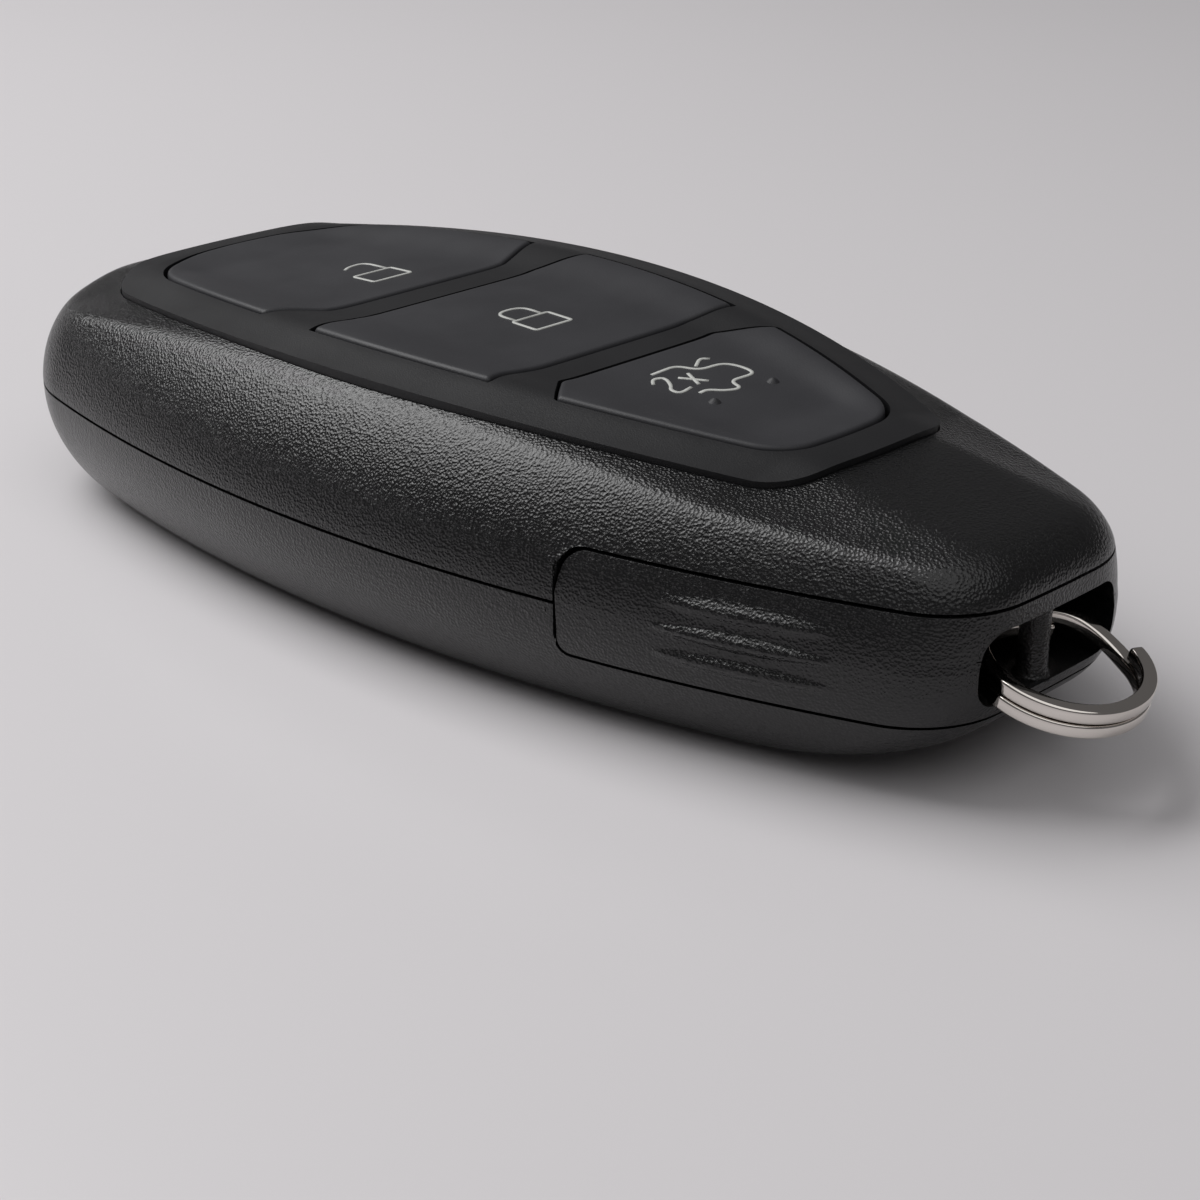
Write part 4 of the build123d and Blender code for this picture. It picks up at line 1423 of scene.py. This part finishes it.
@dataclass(frozen=True)
class Symbol:
    """Thin raised symbol on a button: strokes of one width that follow lines drawn in plan."""

    key: Key
    strokes: tuple[tuple[float, tuple[tuple[float, float], ...]], ...]
    width: float = 0.27
    rise: float = 0.05
    sink: float = 0.12
    steps: int = 7

    def curve(self, corner: float, stroke: tuple[tuple[float, float], ...]) -> np.ndarray:
        """A stroke's line: each inner corner becomes a parabola that starts a set way before it.

        Args:
            corner: How far before each corner the parabola starts.
            stroke: The corners of the line in plan.

        Returns:
            Points of shape (n, 2).
        """
        line = np.array(stroke, float)
        if len(line) < 3:
            return np.linspace(line[0], line[-1], self.steps)
        before, after = line[:-2] - line[1:-1], line[2:] - line[1:-1]
        len_b = np.linalg.norm(before, axis=1, keepdims=True)
        len_a = np.linalg.norm(after, axis=1, keepdims=True)
        start = line[1:-1] + before * np.minimum(corner / len_b, 0.49)
        end = line[1:-1] + after * np.minimum(corner / len_a, 0.49)
        return np.vstack([line[:1], bend(start, line[1:-1], end, self.steps), line[-1:]])

    def build(self, proud: float) -> bpy.types.Object:
        """Each stroke is a six-sided profile carried along its curve, sunk a little into the cap.

        Args:
            proud: How far the cap stands above the panel.

        Returns:
            The symbol, all strokes in one piece.
        """
        half = self.width / 2
        side = np.array([-1.0, -0.8, 0.0, 0.8, 1.0, 0.0]) * half
        level = np.array([-self.sink, self.rise * 0.8, self.rise, self.rise * 0.8, -self.sink, -self.sink])
        blocks = []
        places = []
        total = 0
        for corner, stroke in self.strokes:
            line = self.curve(corner, stroke)
            along = np.gradient(line, axis=0)
            along /= np.linalg.norm(along, axis=1, keepdims=True)
            across = np.column_stack([-along[:, 1], along[:, 0]])
            plan = line[:, None] + across[:, None] * side[None, :, None]
            height = FORM.panel_top(plan[..., 0], plan[..., 1]) + proud + level[None]
            grid = np.concatenate([plan, height[..., None]], axis=-1)
            rows, cols = grid.shape[:2]
            blocks.append(grid_faces(rows, cols, closed=True) + total)
            for row in (0, rows - 1):
                blocks.append((row * cols + np.arange(cols))[None] + total)
            places.append(grid.reshape(-1, 3))
            total += rows * cols
        return make_piece(f"{self.key.value[0]}_symbol", np.vstack(places), blocks)


SYMBOLS = (
    Symbol(Key.UNLOCK, (
        (0.25, ((-18.4, 0.5), (-18.4, -1.1), (-16.1, -1.1), (-16.1, 2.15), (-18.4, 2.15), (-18.4, 0.5))),
        (1.1, ((-18.4, 1.85), (-21.1, 1.95), (-21.0, 0.5), (-20.5, -0.2))),
    )),
    Symbol(Key.LOCK, (
        (0.25, ((-1.85, 0.3), (-1.85, -1.25), (0.45, -1.25), (0.45, 1.8), (-1.85, 1.8), (-1.85, 0.3))),
        (1.1, ((-1.85, -0.9), (-3.95, -0.95), (-3.95, 1.35), (-1.85, 1.3))),
    )),
    Symbol(Key.BOOT, (
        (0.7, ((11.05, -1.6), (10.9, 0.6), (12.3, 1.15), (12.4, 3.1), (13.4, 3.6), (14.8, 3.5), (14.7, 1.3),
               (15.95, 1.1), (15.6, 0.0), (14.8, -0.7), (14.9, -1.45))),
        (0.6, ((11.75, 1.45), (10.95, 2.6), (11.4, 3.05))),
        (0.9, ((12.25, -2.65), (11.6, -2.1), (11.85, -1.3), (13.0, -1.9), (13.5, -2.5), (14.25, -2.4),
               (13.95, -1.2))),
        (0.1, ((12.27, 0.25), (13.9, -0.5))),
        (0.1, ((12.4, -0.73), (13.9, 0.36))),
    )),
)


@dataclass
class Pips:
    """Two small round bumps on the boot button that fingers find in the dark."""

    places: tuple[tuple[float, float], ...] = ((16.35, 3.3), (16.4, -1.75))
    radius: float = 0.5
    rise: float = 0.26
    sink: float = 0.1
    rows: int = 9
    cols: int = 32

    def build(self, proud: float) -> bpy.types.Object:
        """Domes whose height is the rise times (1 - s squared) squared, s from the middle to the edge.

        Args:
            proud: How far the cap stands above the panel.

        Returns:
            Both pips in one piece.
        """
        share = np.linspace(0.0, 1.0, self.rows)[:, None]
        angle = np.arange(self.cols)[None] * 2 * math.pi / self.cols
        points = []
        blocks = []
        for number, (x0, y0) in enumerate(self.places):
            x = x0 + self.radius * share * np.cos(angle)
            y = y0 + self.radius * share * np.sin(angle)
            dome = self.rise * (1.0 - share**2) ** 2 - self.sink * share**4
            top = np.stack([x, y, FORM.panel_top(x, y) + proud + dome], axis=-1)
            base = top[-1:] - (0.0, 0.0, self.sink)
            foot = np.repeat(base.mean(axis=1, keepdims=True), self.cols, axis=1)
            grid = np.concatenate([top, base, foot])
            points.append(grid.reshape(-1, 3))
            first = number * grid.shape[0] * self.cols
            blocks.append(grid_faces(grid.shape[0], self.cols, closed=True) + first)
        return make_piece("boot_pips", np.vstack(points), blocks)


@dataclass
class KeyMat:
    """Silicone mat under the buttons: thin sheet, upright rim and a nub over each switch."""

    inset: float = 0.5
    under: float = 11.8
    sheet: float = 0.5
    rim_width: float = 0.9
    rim_drop: float = 2.45
    nub_radius: float = 1.3
    nub_rise: float = 0.6
    nub_drop: float = 0.5
    nub_edge: float = 0.3
    nub_blur: float = 0.15
    rim_edge: float = 0.2
    rim_blur: float = 0.1
    spine_back: float = -24.0
    spine_front: float = 18.0
    crowding: float = 1.4
    rows: int = 90
    points: int = 480

    def build(self) -> bpy.types.Object:
        """Rows run in from the edge to the middle line, above and below.

        The sheet's top is level, rises by a soft step near the edge to a set depth below the
        crown, and has a dome with a soft edge over each switch; its underside has the lower half
        of each nub.

        Returns:
            The closed mat.
        """
        loop = even_loop(PANEL.loop(self.inset, self.inset), self.points)
        spine = np.column_stack([np.clip(loop[:, 0], self.spine_back, self.spine_front), np.zeros(len(loop))])
        share = np.linspace(0.0, 1.0, self.rows)[:, None, None] ** self.crowding
        plan = loop[None] + (spine - loop)[None] * share
        far, _ = nearest_on_loops(plan.reshape(-1, 2), [loop])
        far = far.reshape(plan.shape[:2])
        bump = np.zeros(far.shape)
        for key in Key:
            low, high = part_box(f"{key.value[0]}_plunger")
            middle = (np.array(low) + np.array(high))[:2] / 2 / MM
            away = np.linalg.norm(plan - middle, axis=-1)
            bump += soft_step((self.nub_radius - away) / self.nub_edge, self.nub_blur)
        level = self.under + self.sheet
        roof = FORM.crown(plan[..., 0]) - self.rim_drop
        rim = soft_step((self.rim_width - far) / self.rim_edge, self.rim_blur)
        top = level + (roof - level) * rim + self.nub_rise * bump
        bottom = self.under - self.nub_drop * bump
        upper = np.concatenate([plan, top[..., None]], axis=-1)[::-1]
        lower = np.concatenate([plan, bottom[..., None]], axis=-1)
        grid = np.concatenate([upper, lower])
        faces = grid_faces(grid.shape[0], grid.shape[1], closed=True)
        return make_piece("silicone_key_mat", grid.reshape(-1, 3), [faces])


@dataclass
class SplitRing:
    """Split ring: one flat wire wound through nearly two turns."""

    outer_radius: float = 5.0
    width: float = 0.9
    height: float = 0.85
    turn_gap: float = 0.08
    centre_x: float = 40.5
    centre_z: float = 6.6
    droop: float = 13.0
    cross_middle: float = 100.0
    cross_half: float = 32.0
    corner_power: float = 0.45
    rows: int = 361
    cols: int = 32

    def build(self) -> bpy.types.Object:
        """A rounded box section carried round the ring, rising where the turns cross.

        The section is a superellipse: the sine and cosine to a power, with their signs. The level
        rises by 3 s squared less 2 s cubed over the crossing, and the ring droops about its middle.

        Returns:
            The closed wire.
        """
        first = self.cross_middle + self.cross_half
        last = self.cross_middle + 720.0 - self.cross_half
        angle = np.radians(np.linspace(first, last, self.rows))
        start = self.cross_middle + 360.0 - self.cross_half
        share = np.clip((np.degrees(angle) - start) / (2 * self.cross_half), 0.0, 1.0)
        level = (self.height + self.turn_gap) * (share**2 * (3 - 2 * share) - 0.5)
        corner = np.linspace(0.0, 2 * math.pi, self.cols + 1)[:-1]
        wave = np.stack([np.cos(corner), np.sin(corner)])
        half_sizes = [[self.width / 2], [self.height / 2]]
        across, upright = np.sign(wave) * np.abs(wave) ** self.corner_power * half_sizes
        radius = self.outer_radius - self.width / 2 + across[None]
        x = radius * np.cos(angle)[:, None]
        y = radius * np.sin(angle)[:, None]
        z = level[:, None] + upright[None]
        tilt = math.radians(self.droop)
        along = x * math.cos(tilt) + z * math.sin(tilt) + self.centre_x
        high = -x * math.sin(tilt) + z * math.cos(tilt) + self.centre_z
        grid = np.stack([along, y, high], axis=-1)
        hubs = np.stack([grid[0].mean(axis=0), grid[-1].mean(axis=0)])
        points = np.vstack([grid.reshape(-1, 3), hubs])
        faces = grid_faces(self.rows, self.cols, closed=True)
        return make_piece("wound_ring", points, [faces, *end_fans(self.rows, self.cols)])


# Materials


def linear(code: str) -> tuple[float, float, float, float]:
    """Linear colour of an sRGB hex code.

    Args:
        code: The code, such as #2b2b2c.

    Returns:
        Red, green and blue as linear values, and an alpha of 1.
    """
    values = [int(code[i : i + 2], 16) / 255 for i in (1, 3, 5)]
    converted = [v / 12.92 if v <= 0.04045 else ((v + 0.055) / 1.055) ** 2.4 for v in values]
    return (*converted, 1.0)


def add_node(
    tree: bpy.types.NodeTree,
    kind: str,
    settings: dict[str, object] | None = None,
    links: dict[str, bpy.types.NodeSocket] | None = None,
) -> bpy.types.Node:
    """Add a node, set its own settings or inputs by name, and link sockets into its inputs.

    Args:
        tree: The node tree.
        kind: Type of the node.
        settings: Values by the name of a setting or an input.
        links: Output sockets by the name of the input they go to.

    Returns:
        The new node.
    """
    node = tree.nodes.new(kind)
    for name, value in (settings or {}).items():
        if name in node.inputs:
            node.inputs[name].default_value = value
        else:
            setattr(node, name, value)
    for name, socket in (links or {}).items():
        tree.links.new(socket, node.inputs[name])
    return node


def new_material(name: str) -> tuple[bpy.types.Material, bpy.types.NodeTree, bpy.types.Node]:
    """Make a material with nodes.

    Args:
        name: Name of the material.

    Returns:
        The material, its node tree and its shader node.
    """
    material = bpy.data.materials.new(name)
    material.use_nodes = True
    tree = material.node_tree
    return material, tree, tree.nodes["Principled BSDF"]


@dataclass(frozen=True)
class Moulded:
    """Moulded plastic or rubber: a base colour, a gloss and the grain that its tool left.

    Lengths are in millimetres. The grain is a noise, and the craters are the pits of a
    spark-eroded tool, which only the case has.
    """

    name: str
    colour: str
    roughness: float
    grain_mm: float
    grain_depth: float
    variation: float = 0.15
    specular: float = 0.5
    crater_mm: float = 0.25
    crater_depth: float = 0.0
    broad_mm: float = 6.0

    def make(self) -> bpy.types.Material:
        """Noise and craters at the grain's size drive the bump, a broader noise the gloss and tone."""
        material, tree, shader = new_material(self.name)
        place = add_node(tree, "ShaderNodeTexCoord").outputs["Object"]
        grain = add_node(
            tree, "ShaderNodeTexNoise",
            {"Scale": 1.0 / (self.grain_mm * MM), "Detail": 2.0, "Roughness": 0.6},
            {"Vector": place},
        )
        broad = add_node(
            tree, "ShaderNodeTexNoise",
            {"Scale": 1.0 / (self.broad_mm * MM), "Detail": 3.0, "Roughness": 0.55},
            {"Vector": place},
        )
        gloss = add_node(
            tree, "ShaderNodeMapRange",
            {"From Min": 0.35, "From Max": 0.65, "To Min": self.roughness * (1 - self.variation / 2),
             "To Max": self.roughness * (1 + self.variation / 2)},
            {"Value": broad.outputs["Fac"]},
        )
        tone = add_node(tree, "ShaderNodeValToRGB", None, {"Fac": broad.outputs["Fac"]})
        base = linear(self.colour)
        swing = self.variation * 0.6
        for element, position, factor in zip(tone.color_ramp.elements, (0.3, 0.7), (1 - swing, 1 + swing)):
            element.position = position
            element.color = (*[c * factor for c in base[:3]], 1.0)
        craters = add_node(
            tree, "ShaderNodeTexVoronoi", {"Scale": 1.0 / (self.crater_mm * MM), "Randomness": 1.0},
            {"Vector": place},
        )
        rough = add_node(
            tree, "ShaderNodeBump", {"Strength": 1.0, "Distance": self.grain_depth * MM},
            {"Height": grain.outputs["Fac"]},
        )
        bump = add_node(
            tree, "ShaderNodeBump", {"Strength": 1.0, "Distance": self.crater_depth * MM},
            {"Height": craters.outputs["Distance"], "Normal": rough.outputs["Normal"]},
        )
        tree.links.new(tone.outputs["Color"], shader.inputs["Base Color"])
        tree.links.new(gloss.outputs["Result"], shader.inputs["Roughness"])
        tree.links.new(bump.outputs["Normal"], shader.inputs["Normal"])
        shader.inputs["Specular IOR Level"].default_value = self.specular
        return material


@dataclass(frozen=True)
class Metal:
    """Bare or plated metal: its colour, gloss and the fine marks on it."""

    name: str
    colour: str
    roughness: float
    mark_mm: float
    mark_depth: float

    def make(self) -> bpy.types.Material:
        """Fine noise roughens the reflection a little, as rubbing does."""
        material, tree, shader = new_material(self.name)
        shader.inputs["Metallic"].default_value = 1.0
        shader.inputs["Base Color"].default_value = linear(self.colour)
        place = add_node(tree, "ShaderNodeTexCoord").outputs["Object"]
        marks = add_node(
            tree, "ShaderNodeTexNoise", {"Scale": 1.0 / (self.mark_mm * MM), "Detail": 3.0}, {"Vector": place}
        )
        gloss = add_node(
            tree, "ShaderNodeMapRange",
            {"From Min": 0.3, "From Max": 0.7, "To Min": self.roughness * 0.6, "To Max": self.roughness * 1.4},
            {"Value": marks.outputs["Fac"]},
        )
        bump = add_node(
            tree, "ShaderNodeBump", {"Strength": 0.5, "Distance": self.mark_depth * MM},
            {"Height": marks.outputs["Fac"]},
        )
        tree.links.new(gloss.outputs["Result"], shader.inputs["Roughness"])
        tree.links.new(bump.outputs["Normal"], shader.inputs["Normal"])
        return material


# ABS moulded in a spark-eroded tool: near black and fairly glossy between its pits, so a lamp
# breaks up into sparkles on the bevel. The pits are drawn coarser than real, to show in the render.
SHELL = Moulded(
    "abs_spark_eroded", "#101011", 0.22, 0.12, 0.025, specular=0.5, crater_mm=0.18, crater_depth=0.042
)
# ABS from a finely blasted tool: an even satin black that stays calm beside the case.
BEZEL = Moulded("abs_satin_bezel", "#161618", 0.45, 0.1, 0.014, specular=0.35)
# The same finish in a dark grey, which lifts the buttons off the bezel.
CAPS = Moulded("abs_satin_buttons", "#2c2c2f", 0.5, 0.12, 0.012, specular=0.35)
# Pad-printed paint: light grey and matt, with only a trace of relief.
INK = Moulded("printed_symbol", "#b4b5b1", 0.5, 0.2, 0.004)
# Compression-moulded silicone: dark grey and dull, with soft highlights.
RUBBER = Moulded("silicone_mat", "#3b3b3d", 0.7, 0.3, 0.02)
# Injection moulded nylon: dark and slightly waxy.
TRAY = Moulded("nylon_tray", "#2c2c2e", 0.55, 0.2, 0.02)
# Glass laminate under green solder mask: smooth, with a clear gloss.
BOARD = Moulded("laminate_solder_mask", "#1f5b3c", 0.3, 0.25, 0.006)
# Transfer-moulded epoxy: black and matt. It also serves the ferrite core and the plungers.
CHIP = Moulded("epoxy_chip", "#1d1d1f", 0.5, 0.1, 0.01)
# Pressed stainless steel of the switch cases and the crystal's can: pale, with a satin shine.
STEEL = Metal("pressed_steel", "#c9c8c3", 0.25, 0.3, 0.002)
# Nickel-plated steel of the cell, contacts and blade: slightly warm, with a soft mirror.
CELL = Metal("nickel_plated_steel", "#c6c3bb", 0.22, 0.4, 0.002)
# Bright nickel on the ring's wire: a near mirror, dark and light in turn as it bends.
CHROME = Metal("nickel_plated_ring", "#dcd6d0", 0.08, 0.5, 0.001)
# Enamelled copper wire: orange brown under a clear skin.
COPPER = Metal("enamelled_copper", "#b8734a", 0.35, 0.2, 0.004)


def dress(piece: bpy.types.Object, material: bpy.types.Material) -> None:
    """Give an object one material all over."""
    piece.data.materials.clear()
    piece.data.materials.append(material)


# Studio


@dataclass
class Studio:
    """Pale table and backdrop, soft lights and the photograph's camera."""

    table: str = "#d3d0d2"
    sky: float = 0.14
    eye: tuple[float, float, float] = (101.588, -91.912, 60.883)
    right: tuple[float, float, float] = (0.6896, 0.7242, -0.0026)
    up: tuple[float, float, float] = (-0.3045, 0.2932, 0.9063)
    ahead: tuple[float, float, float] = (-0.6571, 0.6242, -0.4227)
    lens: float = 67.85
    sky_colour: str = "#e9e7e8"
    table_half: float = 1200.0
    table_roughness: float = 0.3
    key_place: tuple[float, float, float] = (-275, -110, 362)
    key_aim: tuple[float, float, float] = (0, 0, 8)
    key_size: float = 380
    key_power: float = 2.2
    even_toward: tuple[float, float, float] = (0.3, -0.25, 1.0)
    even_spread: float = 70.0
    even_strength: float = 0.85

    def camera(self) -> None:
        """Camera at the place, turn and lens found from the photograph."""
        data = bpy.data.cameras.new("photo_camera")
        data.lens = self.lens
        data.sensor_width = 36.0
        data.clip_start = 0.005
        data.clip_end = 10.0
        camera = link_new("photo_camera", data)
        r, u, d = (Vector(v) for v in (self.right, self.up, self.ahead))
        turn = Matrix((r, u, -d)).transposed()
        camera.matrix_world = Matrix.Translation(Vector(self.eye) * MM) @ turn.to_4x4()
        bpy.context.scene.camera = camera

    def table_top(self) -> None:
        """Wide pale table with a soft gloss, which keeps the fob's shadow."""
        points = np.array([[-1, -1, 0], [1, -1, 0], [1, 1, 0], [-1, 1, 0]]) * self.table_half
        table = make_piece("table", points, [np.array([[0, 1, 2, 3]])])
        face_up(table)
        material, _, shader = new_material("pale_laminate")
        shader.inputs["Base Color"].default_value = linear(self.table)
        shader.inputs["Roughness"].default_value = self.table_roughness
        dress(table, material)

    def lights(self) -> None:
        """A big soft lamp high at the back left, an even light from above and a dim pale sky."""
        world = bpy.data.worlds.new("studio_sky")
        bpy.context.scene.world = world
        world.use_nodes = True
        sky = world.node_tree.nodes["Background"]
        sky.inputs["Color"].default_value = linear(self.sky_colour)
        sky.inputs["Strength"].default_value = self.sky
        key = bpy.data.lights.new("key_light", "AREA")
        key.energy = self.key_power
        key.size = self.key_size * MM
        start = Vector(self.key_place) * MM
        self._aim(link_new("key_light", key), Vector(self.key_aim) * MM - start, start)
        even = bpy.data.lights.new("even_light", "SUN")
        even.energy = self.even_strength
        even.angle = math.radians(self.even_spread)
        self._aim(link_new("even_light", even), -Vector(self.even_toward), Vector())

    def _aim(self, lamp: bpy.types.Object, toward: Vector, start: Vector) -> None:
        """Put a lamp at a place, shining in a direction."""
        turn = toward.to_track_quat("-Z", "Y").to_matrix().to_4x4()
        lamp.matrix_world = Matrix.Translation(start) @ turn


@dataclass(frozen=True)
class InnerParts:
    """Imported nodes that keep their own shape, listed by their finish."""

    finishes: tuple[tuple[Moulded | Metal, tuple[str, ...]], ...] = (
        (BOARD, ("circuit_board",)),
        (STEEL, ("unlock_switch", "lock_switch", "boot_switch", "crystal")),
        (CHIP, (
            "unlock_plunger", "lock_plunger", "boot_plunger", "controller_chip", "radio_chip", "small_parts",
            "antenna_core",
        )),
        (COPPER, ("antenna_winding",)),
        (CELL, ("battery", "positive_contact", "negative_contact", "key_blade")),
        (TRAY, ("inner_tray", "blade_head")),
    )

    def dress_all(self) -> None:
        """Make each finish once and put it on its nodes."""
        for finish, nodes in self.finishes:
            material = finish.make()
            for node in nodes:
                dress(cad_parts[node], material)
                LOG.info("%s: %s", node, finish.name)


def place(piece: bpy.types.Object, material: bpy.types.Material, body: str, slot: str, *nodes: str) -> None:
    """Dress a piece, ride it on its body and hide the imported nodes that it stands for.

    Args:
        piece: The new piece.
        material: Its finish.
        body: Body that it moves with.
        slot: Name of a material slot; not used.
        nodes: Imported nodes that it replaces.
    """
    dress(piece, material)
    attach(piece, body)
    if nodes:
        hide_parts(*nodes)
    LOG.info("%s: %d faces on %s", piece.name, len(piece.data.polygons), body)


def main() -> None:
    """Build the fob's pieces in order, then the studio."""
    logging.basicConfig(level=logging.INFO, format="%(message)s")
    shell = SHELL.make()
    caps = CAPS.make()
    chrome = CHROME.make()
    place(UpperShell().build(), shell, "top", "shell_plastic", "top_cover")
    place(LowerShell().build(), shell, "base", "shell_plastic", "bottom_cover")
    cover = EndCover()
    place(cover.build(), shell, "end", "shell_plastic", "end_cover")
    place(cover.pillar(), shell, "end", "shell_plastic")
    keypad = Keypad()
    place(keypad.panel(), BEZEL.make(), "top", "button_plastic", "button_panel")
    for key in Key:
        label = key.value[0]
        place(keypad.cap(key), caps, f"{label}_key", "button_plastic", f"{label}_button")
    ink = INK.make()
    for symbol in SYMBOLS:
        place(symbol.build(keypad.proud), ink, f"{symbol.key.value[0]}_key", "button_plastic")
    place(Pips().build(keypad.proud), caps, "boot_key", "button_plastic")
    place(KeyMat().build(), RUBBER.make(), "top", "mat_rubber", "keypad_mat")
    place(SplitRing().build(), chrome, "ring", "ring_chrome", "key_ring")
    InnerParts().dress_all()
    studio = Studio()
    studio.camera()
    studio.table_top()
    studio.lights()
    bpy.context.scene.view_settings.view_transform = "Standard"


if __name__ == "__main__":
    main()
